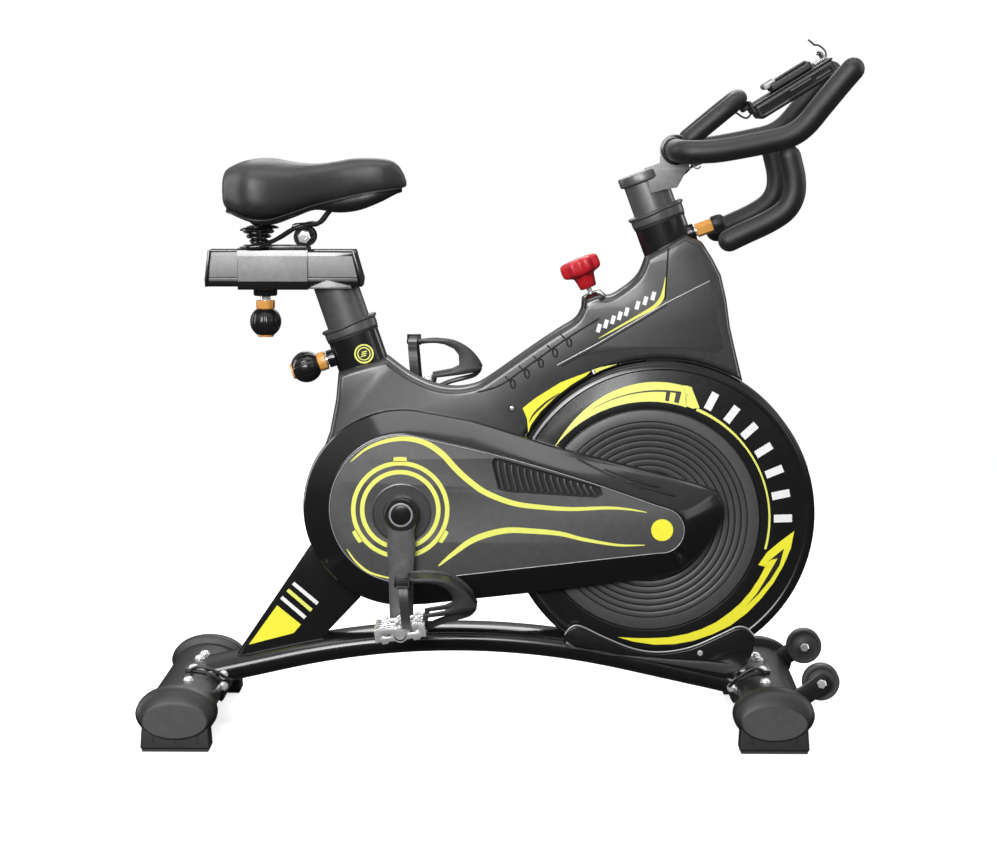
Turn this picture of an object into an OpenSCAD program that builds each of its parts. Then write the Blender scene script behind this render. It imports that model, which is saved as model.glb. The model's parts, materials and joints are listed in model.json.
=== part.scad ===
// Indoor cycling bike: arched base on two stabilizers, covered flywheel, belt drive,
// sliding seat and handlebar posts. Millimetres, +X forward, +Z up, origin on the floor.

/* [Base] */
// Place of the rear stabilizer along the bike
rear_x = -498; // [-506:1:-490]
// Place of the front stabilizer along the bike
front_x = 422; // [414:1:430]
// Length of a stabilizer tube across the bike
stab_len = 470; // [440:5:476]
// Width of a stabilizer tube along the bike
stab_w = 104; // [100:1:106]
// Height of a stabilizer tube
stab_h = 60; // [56:1:62]
// Height of a stabilizer's centre over the floor
stab_z = 56; // [52:1:58]
// Width of the base beam across the bike
beam_w = 100; // [94:1:100]
// Depth of the base beam
beam_h = 44; // [40:1:46]
// Wall of the steel tubes
wall = 2.5; // [2:0.5:3]

/* [Frame] */
// Backward lean of the seat tube from upright, degrees
seat_lean = 19; // [18:0.5:20]
// Backward lean of the head tube from upright, degrees
head_lean = 20; // [19:0.5:21]
// Half the long way across a sliding post
post_a = 35; // [33:0.5:35]
// Half the short way across a sliding post
post_b = 22; // [20:0.5:22]
// Half the width of the plastic frame covers
cover_y = 40; // [38:0.5:41]
// Wall of the plastic covers
skin = 3; // [2:0.5:3]

/* [Drive] */
// Crank length, spindle to pedal axle
crank_len = 170; // [165:1:172]
// Height of the crank spindle over the floor
crank_z = 350; // [348:1:352]
// Place of the crank spindle along the bike
crank_x = -156; // [-158:1:-154]
// Place of the flywheel axle along the bike
fly_x = 253; // [251:1:255]
// Height of the flywheel axle
fly_z = 325; // [323:1:327]
// Radius of the flywheel
fly_r = 195; // [180:1:197]
// Radius of the big pulley on the cranks
big_r = 96; // [88:1:100]
// Radius of the small pulley on the flywheel
small_r = 24; // [20:1:26]
// Radius of the round flywheel cover
wheel_r = 246; // [240:1:246]

/* [Seat] */
// Length of the saddle
saddle_len = 288; // [280:1:292]
// Half the width of the saddle at the back
saddle_w = 100; // [90:1:110]

/* [Handlebar] */
// Radius of the padded main bar
bar_r = 17.5; // [16:0.5:18]
// Half the distance between the two horns
horn_y = 172; // [165:1:175]
// Radius of the ball on each pull knob
ball_r = 25; // [22:1:25]

/* [Hidden] */
$fn = 64;

// Clearances: slip between sliding pieces, run round a shaft, nib against a sliver
slip = 0.4;
run = 0.06;
nib = 0.3;

// Base beam arch
arch_x = -73;
arch_z = 138;
arch_r = 1250;
arch_deg = 12.5;
beam_rear = -470;
beam_front = 398;
saddle_plate = 6;

// Stabilizer end caps
cap_a = 63;
cap_b = 41;
cap_z = 57;
cap_face_a = 51;
cap_face_b = 27;
cap_face_z = 48;
cap_in = 205;
cap_shoulder = 240;
cap_out = 250;
foot_half = 54;
pad_h = 4;
bolt_ys = [-110, -40, 40, 110];

// Post axes: a point on each and how far along it things sit
seat_o = [-228.8, 0, 600];
head_o = [255.5, 0, 790];
tube_a = 41;
tube_b = 25;
seat_tube_s = [-150, 28.5];
head_tube_s = [-135, 18];
collar_h = 20;
badge_c = [-218, 596];
badge_r = 17;
seat_post_s = [-114, 116];
bar_post_s = [-105, 97];

leg_y = 32;
box_y = 20;
box_w = 50;

// Wheel cover and fork
wheel_z = 340;
wheel_y = 45;
fork_y = [27, 33];
fork_half = 25;
axle_r = 8.5;
bearing_r = 17.5;
bb_bearing_r = 20;

// Brake rod axis
brake_o = [124.5, 0, 734];
brake_lean = 22;
rod_r = 4;
rod_len = 212;
pad_gap = 6;

// Belt case
case_y = [-90, -50];
case_flank_y = -60;
case_back = 2;
face_t = 2.5;
case_c = [-157, 354];
case_r = 157;
belt_y = [-78, -62];
belt_t = 4;

// Seat rail, carriage and saddle clamp
rail_z = [702, 760];
rail_y = 32;
rail_x = [-470, -219];
carriage_x = [-418, -305];
slider_x = -376.5;
clamp_c = [-312, 0, 781];
rail_r = 3.5;
spring_c = [-385, 46];

// Pull knobs: ball, collar and stem along the pulling direction
stem_r = 8;
collar_r = 15;
seat_knob_o = [-232.4, 0, 600];
bar_knob_o = [262, 0, 773];

// Console plane
tray_o = [387, 0, 985];
tray_deg = 31.6;
tray_y = 70;

// Transport wheels
twheel_c = [500, 152, 95];
twheel_r = 29;
twheel_w = 24;

// ---------- helpers ----------

// A flat outline in the X-Z plane, as thick as from y0 to y1
module slab(y0, y1) {
    translate([0, y1, 0]) rotate([90, 0, 0]) linear_extrude(height = y1 - y0) children();
}

// A round bar along Y
module shaft(x, z, r, y0, y1) {
    translate([x, y0, z]) rotate([-90, 0, 0]) cylinder(r = r, h = y1 - y0);
}

// Children leant back in the X-Z plane about a point
module leant(origin, lean) {
    translate(origin) rotate([0, -lean, 0]) children();
}

function oval(a, b, cx = 0, cz = 0, n = 48) =
    [for (i = [0:n - 1]) [cx + a * cos(360 * i / n), cz + b * sin(360 * i / n)]];

function arc(c, r, a0, a1, n = 24) =
    [for (i = [0:n]) let (t = a0 + (a1 - a0) * i / n) [c[0] + r * cos(t), c[1] + r * sin(t)]];

function unit(v) = v / norm(v);

// Catmull-Rom curve through a list of points of any dimension
function spline_at(p, i, t) =
    let (n = len(p) - 1, a = p[max(i - 1, 0)], b = p[i], c = p[min(i + 1, n)],
         d = p[min(i + 2, n)])
    0.5 * (2 * b + (c - a) * t + (2 * a - 5 * b + 4 * c - d) * t * t
        + (3 * b - a - 3 * c + d) * t * t * t);
function spline(p, n = 6) =
    concat([for (i = [0:len(p) - 2], k = [0:n - 1]) spline_at(p, i, k / n)],
        [p[len(p) - 1]]);

// An outline moved inward by d; the outline runs anticlockwise
function inset(p, d) =
    [for (i = [0:len(p) - 1])
        let (n = len(p), a = unit(p[i] - p[(i + n - 1) % n]), b = unit(p[(i + 1) % n] - p[i]),
             m = unit([-a[1] - b[1], a[0] + b[0]]), c = max(m * [-a[1], a[0]], 0.4))
        p[i] + m * d / c];

// A band of width w along an open X-Z line
function band(p, w) =
    let (n = len(p) - 1,
         dirs = [for (i = [0:n]) unit(p[min(i + 1, n)] - p[max(i - 1, 0)])],
         side = [for (d = dirs) [-d[1], d[0]]])
    concat([for (i = [0:n]) p[i] - side[i] * w / 2],
        [for (i = [n:-1:0]) p[i] + side[i] * w / 2]);

// Two circles with a belt round them: anticlockwise outline at offset d
function belt_line(c1, r1, c2, r2, d) =
    let (v = c2 - c1, base = atan2(v[1], v[0]), open = acos((r1 - r2) / norm(v)))
    concat(arc(c1, r1 + d, base + open, base + 360 - open, 40),
        arc(c2, r2 + d, base - open, base + open, 16));

// A tube swept along points in space, round the reference direction ref
module swept(path, r, ref = [0, 1, 0], sides = 10) {
    n = len(path);
    dirs = [for (i = [0:n - 1]) unit(path[min(i + 1, n - 1)] - path[max(i - 1, 0)])];
    rings = [for (i = [0:n - 1], k = [0:sides - 1])
        let (u = unit(cross(dirs[i], ref)), v = cross(u, dirs[i]), t = 360 * k / sides)
        path[i] + r * (u * cos(t) + v * sin(t))];
    walls = [for (i = [0:n - 2], k = [0:sides - 1])
        let (k2 = (k + 1) % sides, a = i * sides)
        [a + k, a + k2, a + sides + k2, a + sides + k]];
    ends = [[for (k = [sides - 1:-1:0]) k],
        [for (k = [0:sides - 1]) (n - 1) * sides + k]];
    polyhedron(points = rings, faces = concat(walls, ends), convexity = 6);
}

// Sections of equal count skinned into a closed solid
module lofted(sections) {
    n = len(sections);
    m = len(sections[0]);
    walls = [for (i = [0:n - 2], k = [0:m - 1])
        let (k2 = (k + 1) % m, a = i * m) each [[a + k, a + m + k, a + k2],
            [a + k2, a + m + k, a + m + k2]]];
    ends = [[for (k = [0:m - 1]) k], [for (k = [m - 1:-1:0]) (n - 1) * m + k]];
    polyhedron(points = [for (s = sections) each s], faces = concat(walls, ends),
        convexity = 6);
}

// A domed bolt head standing on z = 0
module dome(r, h) {
    ball = (r * r + h * h) / (2 * h);
    intersection() {
        translate([0, 0, h - ball]) sphere(r = ball);
        cylinder(r = r, h = h);
    }
}

// ---------- base ----------

function arch_at(x) =
    let (d = abs(x - arch_x), flat = arch_r * sin(arch_deg))
    d < flat ? arch_z - arch_r + sqrt(arch_r * arch_r - d * d)
        : arch_z - arch_r * (1 - cos(arch_deg)) - (d - flat) * tan(arch_deg);
function arch_line(x0, x1, n = 32) =
    [for (i = [0:n]) let (x = x0 + (x1 - x0) * i / n) [x, arch_at(x)]];

module stab_oval(x, grow = 0) {
    polygon(oval(stab_w / 2 + grow, stab_h / 2 + grow, x, stab_z));
}

// Plate that wraps the inner side of a stabilizer; side is +1 where that is forward
module stab_seat(x, side) {
    intersection() {
        stab_oval(x, saddle_plate);
        translate([side > 0 ? x - 8 : x - stab_w, stab_z - 18]) square([stab_w + 8, stab_h]);
    }
}

module base_beam() {
    color("#26272a") difference() {
        slab(-beam_w / 2, beam_w / 2) difference() {
            union() {
                polygon(band(arch_line(beam_rear, beam_front), beam_h));
                stab_seat(rear_x, 1);
                stab_seat(front_x, -1);
            }
            stab_oval(rear_x);
            stab_oval(front_x);
        }
        slab(wall - beam_w / 2, beam_w / 2 - wall)
            polygon(band(arch_line(beam_rear - 2, beam_front + 2), beam_h - 2 * wall));
    }
}

module stabilizer(x) {
    color("#2b2c2f") slab(-stab_len / 2, stab_len / 2) difference() {
        stab_oval(x);
        stab_oval(x, -wall);
    }
}
module rear_stabilizer() { stabilizer(rear_x); }
module front_stabilizer() { stabilizer(front_x); }

module end_cap(x) {
    difference() {
        union() {
            slab(cap_in, cap_shoulder) polygon(oval(cap_a, cap_b, x, cap_z));
            hull() {
                slab(cap_shoulder - 1, cap_shoulder) polygon(oval(cap_a, cap_b, x, cap_z, 32));
                slab(cap_out - 1, cap_out)
                    polygon(oval(cap_face_a, cap_face_b, x, cap_face_z, 32));
            }
            translate([x - foot_half, cap_in, pad_h])
                cube([2 * foot_half, cap_out - 4 - cap_in, stab_z - pad_h - 10]);
        }
        slab(cap_in - 1, stab_len / 2 + nib) stab_oval(x, nib);
    }
}
module end_caps() {
    color("#303134") for (x = [rear_x, front_x], side = [0, 1]) mirror([0, side, 0]) end_cap(x);
}

module foot_pads() {
    color("#151515") for (x = [rear_x, front_x], side = [0, 1]) mirror([0, side, 0])
        translate([x - foot_half + 3, cap_in + 2, 0])
            cube([2 * foot_half - 6, cap_out - cap_in - 9, pad_h]);
}

module frame_fasteners() {
    color("#c9c9cc") {
        for (x = [rear_x, front_x], y = bolt_ys)
            translate([x + 5 * sign(-x), y,
                stab_z + stab_h / 2 + (abs(y) < beam_w / 2 ? saddle_plate : 0)]) dome(7.5, 5);
        for (side = [0, 1]) mirror([0, side, 0]) {
            shaft(twheel_c[0], twheel_c[2], rod_r, 136, 172);
            for (y = [131, 172]) shaft(twheel_c[0], twheel_c[2], 7.5, y, y + 5, $fn = 6);
            shaft(317, 107, 5, beam_w / 2 + 6, beam_w / 2 + 8);
            shaft(17, 511, 4, cover_y, cover_y + 1.5);
        }
    }
}

// Cords that keep each stabilizer's locking piece, held at both ends
cord_rear = [[-497, -56, 88.7], [-490, -57, 95], [-476, -58, 96], [-462, -58, 92],
    [-448, -57, 84], [-438, -54, 77], [-430, -52.7, 74]];
cord_front = [[421, -58, 88.7], [414, -60, 95], [402, -61, 97], [390, -61, 92],
    [380, -60.5, 84], [374, -59, 78], [369, -56, 72], [364, -52.7, 66]];
module retaining_cords() {
    color("#222222") for (c = [cord_rear, cord_front]) swept(spline(c, 3), 2.5, [0, 0.2, 1], 8);
}

// ---------- frame ----------

leg_line = [[-296, 112], [-278, 150], [-226, 205], [-160, 318], [-176, 368], [-262, 345],
    [-311, 279], [-438, 92]];
top_beam = [[-165, 500], [-60, 500], [70, 573], [262, 706]];

module beam_shadow(grow = 0) {
    polygon(band(arch_line(beam_rear, beam_front), beam_h + 2 * grow));
}

module post_bore(origin, lean, s0, s1) {
    leant(origin, lean) translate([0, 0, s0])
        linear_extrude(height = s1 - s0) polygon(oval(post_a + slip, post_b + slip));
}
module tube_body(origin, lean, s, grow = 0) {
    leant(origin, lean) translate([0, 0, s[0]])
        linear_extrude(height = s[1] - s[0]) polygon(oval(tube_a + grow, tube_b + grow));
}

module rear_leg() {
    difference() {
        slab(-leg_y, leg_y) difference() {
            polygon(leg_line);
            beam_shadow();
        }
        slab(wall - leg_y, leg_y - wall) polygon(inset(leg_line, wall));
    }
}

module fork_legs() {
    for (side = [0, 1]) mirror([0, side, 0]) {
        slab(fork_y[0], fork_y[1]) difference() {
            translate([fly_x - fork_half, 80]) square([2 * fork_half, 600 - 25]);
            beam_shadow();
            translate([fly_x - 200, 0]) square([400, 98]);
        }
        shaft(fly_x, fly_z, bearing_r + 6, fork_y[0] - 2, fork_y[1] + 2);
    }
}

module frame_weldment() {
    color("#1d1e20") difference() {
        union() {
            tube_body(seat_o, seat_lean, seat_tube_s);
            tube_body(head_o, head_lean, head_tube_s);
            slab(-box_y, box_y) polygon(band(top_beam, box_w));
            slab(-box_y, box_y) polygon([[-205, 462], [-150, 466], [-128, 350], [-190, 350]]);
            shaft(crank_x, crank_z, bb_bearing_r + 6, -36, 36);
            rear_leg();
            fork_legs();
            translate([fly_x - fork_half, -33, 614]) cube([72, 66, 44]);
            leant(seat_knob_o, 90 + seat_lean) translate([0, 0, 35]) cylinder(r = 14, h = 12);
            leant(bar_knob_o, head_lean - 90) translate([0, 0, 39]) cylinder(r = 14, h = 8);
            leant(brake_o, brake_lean) translate([0, 0, -112]) cylinder(r = 9, h = 66);
        }
        slab(wall - box_y, box_y - wall) polygon(band(top_beam, box_w - 2 * wall));
        post_bore(seat_o, seat_lean, seat_tube_s[0] + 4, seat_tube_s[1] + 1);
        post_bore(head_o, head_lean, head_tube_s[0] + 6, head_tube_s[1] + 1);
        for (side = [0, 1]) mirror([0, side, 0]) {
            shaft(fly_x, fly_z, bearing_r, fork_y[0] - 3, fork_y[1] + 3);
            shaft(crank_x, crank_z, bb_bearing_r, 24, 37);
        }
        shaft(crank_x, crank_z, bb_bearing_r - 4, -37, 37);
        leant(seat_knob_o, 90 + seat_lean) cylinder(r = stem_r + run, h = 60);
        leant(bar_knob_o, head_lean - 90) cylinder(r = stem_r + run, h = 60);
        leant(brake_o, brake_lean) translate([0, 0, -190]) cylinder(r = rod_r + run, h = 190);
    }
}

// Outline of the plastic frame covers, anticlockwise from the rear of the seat tube
cover_line = concat(
    [[-259, 566], [-263, 523], [-273, 472], [-286, 436]],
    arc(case_c, case_r - 7, 168, 272, 16),
    arc([fly_x, wheel_z], wheel_r + 3, 206, 58.6, 40),
    [[371, 600], [362, 639], [356, 682], [347, 721], [333, 748], [317, 773], [290, 785]],
    spline([[228, 750], [220, 728], [210, 714], [193, 700], [172, 688], [147, 687],
        [130, 674], [118, 652], [89, 633], [50, 607], [-18, 559], [-42, 546], [-72, 541],
        [-108, 546], [-147, 564], [-182, 590]], 3));

module frame_cover() {
    difference() {
        slab(-cover_y, 0) polygon(cover_line);
        slab(skin - cover_y, 1) polygon(inset(cover_line, skin));
        tube_body(seat_o, seat_lean, seat_tube_s, slip);
        tube_body(head_o, head_lean, head_tube_s, slip);
        slab(-leg_y - slip, 1) polygon(inset(leg_line, -slip));
        translate([fly_x - fork_half - slip, -34, 560]) cube([2 * fork_half + 2 * slip, 40, 90]);
        leant(brake_o, brake_lean) translate([0, 0, -260]) cylinder(r = 9 + slip, h = 240);
        leant(bar_knob_o, head_lean - 90) cylinder(r = 14 + slip, h = 60);
        shaft(badge_c[0], badge_c[1], badge_r + slip, -60, -20);
        shaft(crank_x, crank_z, 30, -cover_y - 1, 1);
    }
}
module frame_cover_right() { color("#232427") frame_cover(); }
module frame_cover_left() {
    color("#232427") {
        mirror([0, 1, 0]) frame_cover();
        difference() {
            shaft(crank_x, crank_z, 60, cover_y, 86);
            shaft(crank_x, crank_z, 60 - skin, cover_y - 1, 86 - skin);
            shaft(crank_x, crank_z, 14, 80, 87);
        }
    }
}

module tube_collars() {
    color("#1b1b1d") for (t = [[seat_o, seat_lean, seat_tube_s[1]],
            [head_o, head_lean, head_tube_s[1]]])
        leant(t[0], t[1]) translate([0, 0, t[2]]) linear_extrude(height = collar_h)
            difference() {
                polygon(oval(tube_a + 3.5, tube_b + 3.5));
                polygon(oval(post_a + slip, post_b + slip));
            }
}

module badge_ring() {
    color("#d9d36a") difference() {
        shaft(badge_c[0], badge_c[1], badge_r, -tube_b - 3.5, -tube_b - 0.5);
        shaft(badge_c[0], badge_c[1], badge_r - 4.5, -tube_b - 4, -tube_b - 2);
    }
}

// ---------- drive ----------

case_line = concat(
    arc(case_c, case_r, 76, 268, 30),
    spline([[-120, 199], [-40, 208], [94, 223], [189, 236], [263, 246], [300, 264],
        [334, 306], [352, 345], [346, 372], [322, 389], [206, 421], [93, 450], [19, 473],
        [-51, 494]], 3));
face_line = belt_line([-153, 356], 118, [fly_x, 323], 37, 0);
vent_line = [[-12, 433], [0, 390], [160, 377], [156, 393]];

module case_solid(d) {
    hull() {
        slab(case_flank_y + d, case_y[1]) polygon(inset(case_line, d));
        slab(case_y[0] + d, case_y[0] + d + 1) polygon(inset(face_line, d));
    }
}
module vent_hole() { slab(case_y[0] - 9, case_y[0] + 9) polygon(vent_line); }

module belt_cover_outer() {
    color("#121214") difference() {
        case_solid(0);
        hull() {
            slab(case_flank_y + skin, case_y[1] + 1) polygon(inset(case_line, skin));
            slab(case_y[0] + skin, case_y[0] + skin + 1) polygon(inset(face_line, skin));
        }
        shaft(crank_x, crank_z, 44, case_y[0] - 1, case_y[0] + 6);
        vent_hole();
    }
}
module belt_cover_face() {
    color("#3c3d40") difference() {
        slab(case_y[0] - face_t, case_y[0]) polygon(inset(face_line, 2));
        shaft(crank_x, crank_z, 44, case_y[0] - 9, case_y[0] + 1);
        vent_hole();
    }
}
module belt_cover_inner() {
    color("#18181a") slab(case_y[1], case_y[1] + case_back) difference() {
        polygon(case_line);
        translate([crank_x, crank_z]) circle(r = 22);
        translate([fly_x, fly_z]) circle(r = 14);
    }
}
module vent_grille() {
    slats = 14;
    color("#0c0c0d") difference() {
        slab(case_y[0] - 1.5, case_y[0] + 4) polygon(inset([for (i = [0:3]) vent_line[i]], nib));
        for (i = [0:slats - 1]) translate([10 + i * 150 / slats, 0, 425 - i * 38 / slats])
            rotate([0, 28, 0]) translate([-2, case_y[0] - 9, -44]) cube([4, 20, 40 - i * 1.6]);
    }
}

module drive_belt() {
    color("#111111") slab(belt_y[0], belt_y[1]) difference() {
        polygon(belt_line([crank_x, crank_z], big_r, [fly_x, fly_z], small_r, nib + belt_t));
        polygon(belt_line([crank_x, crank_z], big_r, [fly_x, fly_z], small_r, nib));
    }
}

module bearing(x, z, r, y0, y1) {
    difference() {
        shaft(x, z, r, y0, y1);
        shaft(x, z, axle_r + run, y0 - 1, y1 + 1);
    }
}
module bottom_bracket_bearings() {
    color("#9a9ca0") for (side = [0, 1]) mirror([0, side, 0])
        bearing(crank_x, crank_z, bb_bearing_r, 24, 36);
}
module flywheel_bearings() {
    color("#9a9ca0") for (side = [0, 1]) mirror([0, side, 0])
        bearing(fly_x, fly_z, bearing_r, fork_y[0] - 2, fork_y[1] + 2);
}

module crank_spindle() { color("#8c8e92") shaft(crank_x, crank_z, axle_r, -112, 112); }

module crank(side, down) {
    end_z = crank_z - down * crank_len;
    difference() {
        union() {
            shaft(crank_x, crank_z, 27, side > 0 ? 96 : -116, side > 0 ? 116 : -96);
            slab(side > 0 ? 100 : -114, side > 0 ? 114 : -100) {
                polygon([[crank_x - 24, crank_z], [crank_x + 24, crank_z],
                    [crank_x + 19, crank_z - down * 70], [crank_x + 16, end_z],
                    [crank_x - 16, end_z], [crank_x - 19, crank_z - down * 70]]);
                translate([crank_x, end_z]) circle(r = 16);
            }
        }
        shaft(crank_x, crank_z, axle_r, -113, 113);
        shaft(crank_x, crank_z, 18, side > 0 ? 112 : -117, side > 0 ? 117 : -112);
    }
}
module right_crank() { color("#2a2b2d") crank(-1, 1); }
module left_crank() { color("#2a2b2d") crank(1, -1); }
module crank_caps() {
    color("#1c1c1e") for (side = [0, 1]) mirror([0, side, 0])
        shaft(crank_x, crank_z, 17.5, 112, 117.5);
}

module pulley(x, z, r) {
    difference() {
        shaft(x, z, r, belt_y[0] - 2, belt_y[1] + 2);
        if (r > 60) difference() {
            shaft(x, z, r - 8, belt_y[0] - 3, belt_y[0] + 4);
            shaft(x, z, 26, belt_y[0] - 3, belt_y[0] + 5);
        }
        shaft(x, z, axle_r, belt_y[0] - 3, belt_y[1] + 3);
    }
}
module drive_pulley() { color("#6f7276") pulley(crank_x, crank_z, big_r); }
module driven_pulley() { color("#6f7276") pulley(fly_x, fly_z, small_r); }

module pedal_axles() {
    color("#b9babd") {
        shaft(crank_x, crank_z - crank_len, 7, -212, -114);
        shaft(crank_x, crank_z + crank_len, 7, 114, 212);
    }
}

module flywheel() {
    color("#55585c") translate([fly_x, 0, fly_z]) rotate([90, 0, 0]) rotate_extrude($fn = 96)
        polygon([[axle_r, -19], [30, -19], [34, -5], [fly_r - 45, -5], [fly_r - 40, -14],
            [fly_r, -14], [fly_r, 14], [fly_r - 40, 14], [fly_r - 45, 5], [34, 5], [30, 19],
            [axle_r, 19]]);
}
module flywheel_axle() { color("#8c8e92") shaft(fly_x, fly_z, axle_r, -82, 37); }

// ---------- wheel cover ----------

module wheel_disc(r) {
    difference() {
        translate([fly_x, wheel_z]) circle(r = r, $fn = 128);
        beam_shadow(1);
        translate([fly_x - 300, -40]) square([600, 138]);
    }
}
module wheel_cover() {
    difference() {
        slab(-wheel_y, -0.1) wheel_disc(wheel_r);
        slab(skin - wheel_y, 1) translate([fly_x, wheel_z]) circle(r = wheel_r - skin, $fn = 128);
        translate([fly_x - fork_half - slip, -fork_y[1] - slip, 540])
            cube([2 * fork_half + 2 * slip, fork_y[1] + 2, 80]);
        leant(brake_o, brake_lean) translate([0, 0, -260]) cylinder(r = 9 + slip, h = 240);
    }
}
module wheel_cover_right() {
    color("#1a1a1c") difference() {
        wheel_cover();
        shaft(fly_x, fly_z, 14, -wheel_y - 1, 0);
    }
}
module wheel_cover_left() { color("#1a1a1c") mirror([0, 1, 0]) wheel_cover(); }

// Guard plates on both sides of the beam that hide the foot of the wheel cover
cradle_line = concat([[100, 136]],
    spline([[101, 150], [112, 163], [128, 164], [166, 146], [212, 128], [254, 123],
        [302, 131], [350, 152], [376, 164], [392, 161], [404, 148]], 4), [[400, 112], [385, 98]]);
cradle_drop = 8;
module wheel_cradles() {
    color("#1b1b1d") for (side = [0, 1]) mirror([0, side, 0])
        slab(beam_w / 2, beam_w / 2 + 6) difference() {
            polygon(concat(cradle_line, [for (x = [360:-40:120]) [x, arch_at(x) + cradle_drop]]));
            stab_oval(front_x);
        }
}

// ---------- pedals ----------

module pedal(z) {
    color("#c4c5c8") difference() {
        union() {
            difference() {
                translate([crank_x - 40, -215, z - 13]) cube([80, 90, 26]);
                translate([crank_x - 33, -208, z - 14]) cube([66, 76, 28]);
            }
            shaft(crank_x, z, 12, -213, -127);
            translate([crank_x - 36, -176, z - 6]) cube([72, 12, 12]);
        }
        shaft(crank_x, z, 7 + run, -212.5, -124);
    }
}

// Toe cage as a bent strip, and a strap that arches over the shoe
cage_line = [[43, 3], [70, 16], [112, 26], [121, 38], [116, 56], [96, 76], [66, 83],
    [30, 76], [-4, 72]];
strap_foot = 9;
module toe_clip(z) {
    color("#17171a") translate([crank_x, -170, z]) {
        slab(-27, 27) polygon(band(spline(cage_line, 4), 4));
        translate([9, 0, 0]) rotate([0, -90, 0]) linear_extrude(height = 18)
            polygon(concat([[strap_foot, 50.4], [strap_foot, 46.4]], arc([40, 0], 38, 75, -75, 18) ,
                [[strap_foot, -46.4], [strap_foot, -50.4]], arc([40, 0], 42, -75, 75, 18)));
    }
}
module right_pedal() { pedal(crank_z - crank_len); }
module left_pedal() { mirror([0, 1, 0]) pedal(crank_z + crank_len); }
module right_toe_clip() { toe_clip(crank_z - crank_len); }
module left_toe_clip() { mirror([0, 1, 0]) toe_clip(crank_z + crank_len); }

// ---------- seat ----------

rail_line = [[rail_x[0], rail_z[0]], [rail_x[1], rail_z[0]], [-233, rail_z[1]],
    [-464, rail_z[1]]];
module seat_post() {
    color("#6d6e71") {
        difference() {
            slab(-rail_y, rail_y) polygon(rail_line);
            slab(wall - rail_y, rail_y - wall) polygon([[-500, rail_z[0] + wall],
                [-180, rail_z[0] + wall], [-180, rail_z[1] - wall], [-500, rail_z[1] - wall]]);
        }
        difference() {
            leant(seat_o, seat_lean) translate([0, 0, seat_post_s[0]])
                linear_extrude(height = seat_post_s[1] - seat_post_s[0]) difference() {
                    polygon(oval(post_a, post_b));
                    polygon(oval(post_a - wall, post_b - wall));
                }
            translate([-400, -60, rail_z[0] + 1]) cube([300, 120, 60]);
        }
    }
}
module rail_end_caps() {
    color("#111113") for (e = [[rail_x[0], -464, -4], [rail_x[1], -233, 4]])
        slab(-rail_y, rail_y) polygon(e[2] < 0
            ? [[e[0] + e[2], rail_z[0]], [e[0], rail_z[0]], [e[1], rail_z[1]],
                [e[1] + e[2], rail_z[1]]]
            : [[e[0], rail_z[0]], [e[0] + e[2], rail_z[0]], [e[1] + e[2], rail_z[1]],
                [e[1], rail_z[1]]]);
}

module seat_carriage() {
    wide = rail_y + 4;
    color("#6d6e71") difference() {
        union() {
            translate([carriage_x[0], -wide, rail_z[0] - 4.5])
                cube([carriage_x[1] - carriage_x[0], 2 * wide, rail_z[1] - rail_z[0] + 8]);
            translate([slider_x, 0, rail_z[0] - 17]) cylinder(r = 19, h = 14);
            translate([clamp_c[0] - 9, -11.5, rail_z[1] + 2]) cube([15, 23, 20]);
            shaft(clamp_c[0], clamp_c[2], 12, -11.5, 11.5);
        }
        translate([carriage_x[0] - 1, -rail_y - slip, rail_z[0] - slip])
            cube([carriage_x[1] - carriage_x[0] + 2, 2 * (rail_y + slip),
                rail_z[1] - rail_z[0] + 2 * slip]);
        translate([slider_x, 0, rail_z[0] - 20]) cylinder(r = stem_r + run, h = 20);
        shaft(clamp_c[0], clamp_c[2], 5 + run, -12, 12);
    }
}

module saddle_clamp() {
    color("#1a1a1c") {
        for (side = [0, 1]) mirror([0, side, 0])
            shaft(clamp_c[0], clamp_c[2], 17, 12, 23);
        shaft(clamp_c[0], clamp_c[2], 5, -12.5, 12.5);
        for (side = [0, 1]) mirror([0, side, 0]) shaft(clamp_c[0], clamp_c[2], 10, 22.5, 27);
    }
}

wire = [[-262, 14, 834], [-276, 20, 818], [-290, 28, 802], [-308, 32.5, 800],
    [-330, 36, 793], [-356, 44, 777], [-378, 52, 768], [-395, 52, 766], [-401, 47.5, 766],
    [-395, 43, 766], [-380, 42, 766]];
module saddle_rails() {
    color("#151517") for (side = [0, 1]) mirror([0, side, 0])
        swept(spline(wire, 3), rail_r, [0, 0.12, 1], 8);
}

// Two conical coil springs with a round seat on top
module saddle_springs() {
    turns = 2.5;
    steps = 30;
    z0 = 775;
    height = 15;
    color("#151517") for (side = [0, 1]) mirror([0, side, 0]) {
        swept([for (i = [0:steps]) let (t = 360 * turns * i / steps, r = 10 + 6 * i / steps)
            [spring_c[0] + r * cos(t), spring_c[1] + r * sin(t), z0 + height * i / steps]],
            2, [0, 0, 1], 6);
        translate([spring_c[0], spring_c[1], z0 + height + 2.3]) cylinder(r = 26, h = 3);
    }
}

// Saddle outline curves over the way along it, 0 at the back and 1 at the nose
function along(list, t) =
    let (n = len(list) - 1, i = min(floor(t * n), n - 1))
    spline_at([for (v = list) [v, 0]], i, t * n - i)[0];
saddle_back = -441;
top_z = [848, 905, 906, 899, 897, 901, 907, 905, 862];
seam_z = [824, 812, 808, 818, 830, 838, 846, 852, 857];
low_z = [818, 806, 800, 811, 824, 823, 828, 838, 852];
half_w = [62, 96, 100, 84, 56, 40, 33, 29, 12];

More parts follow.
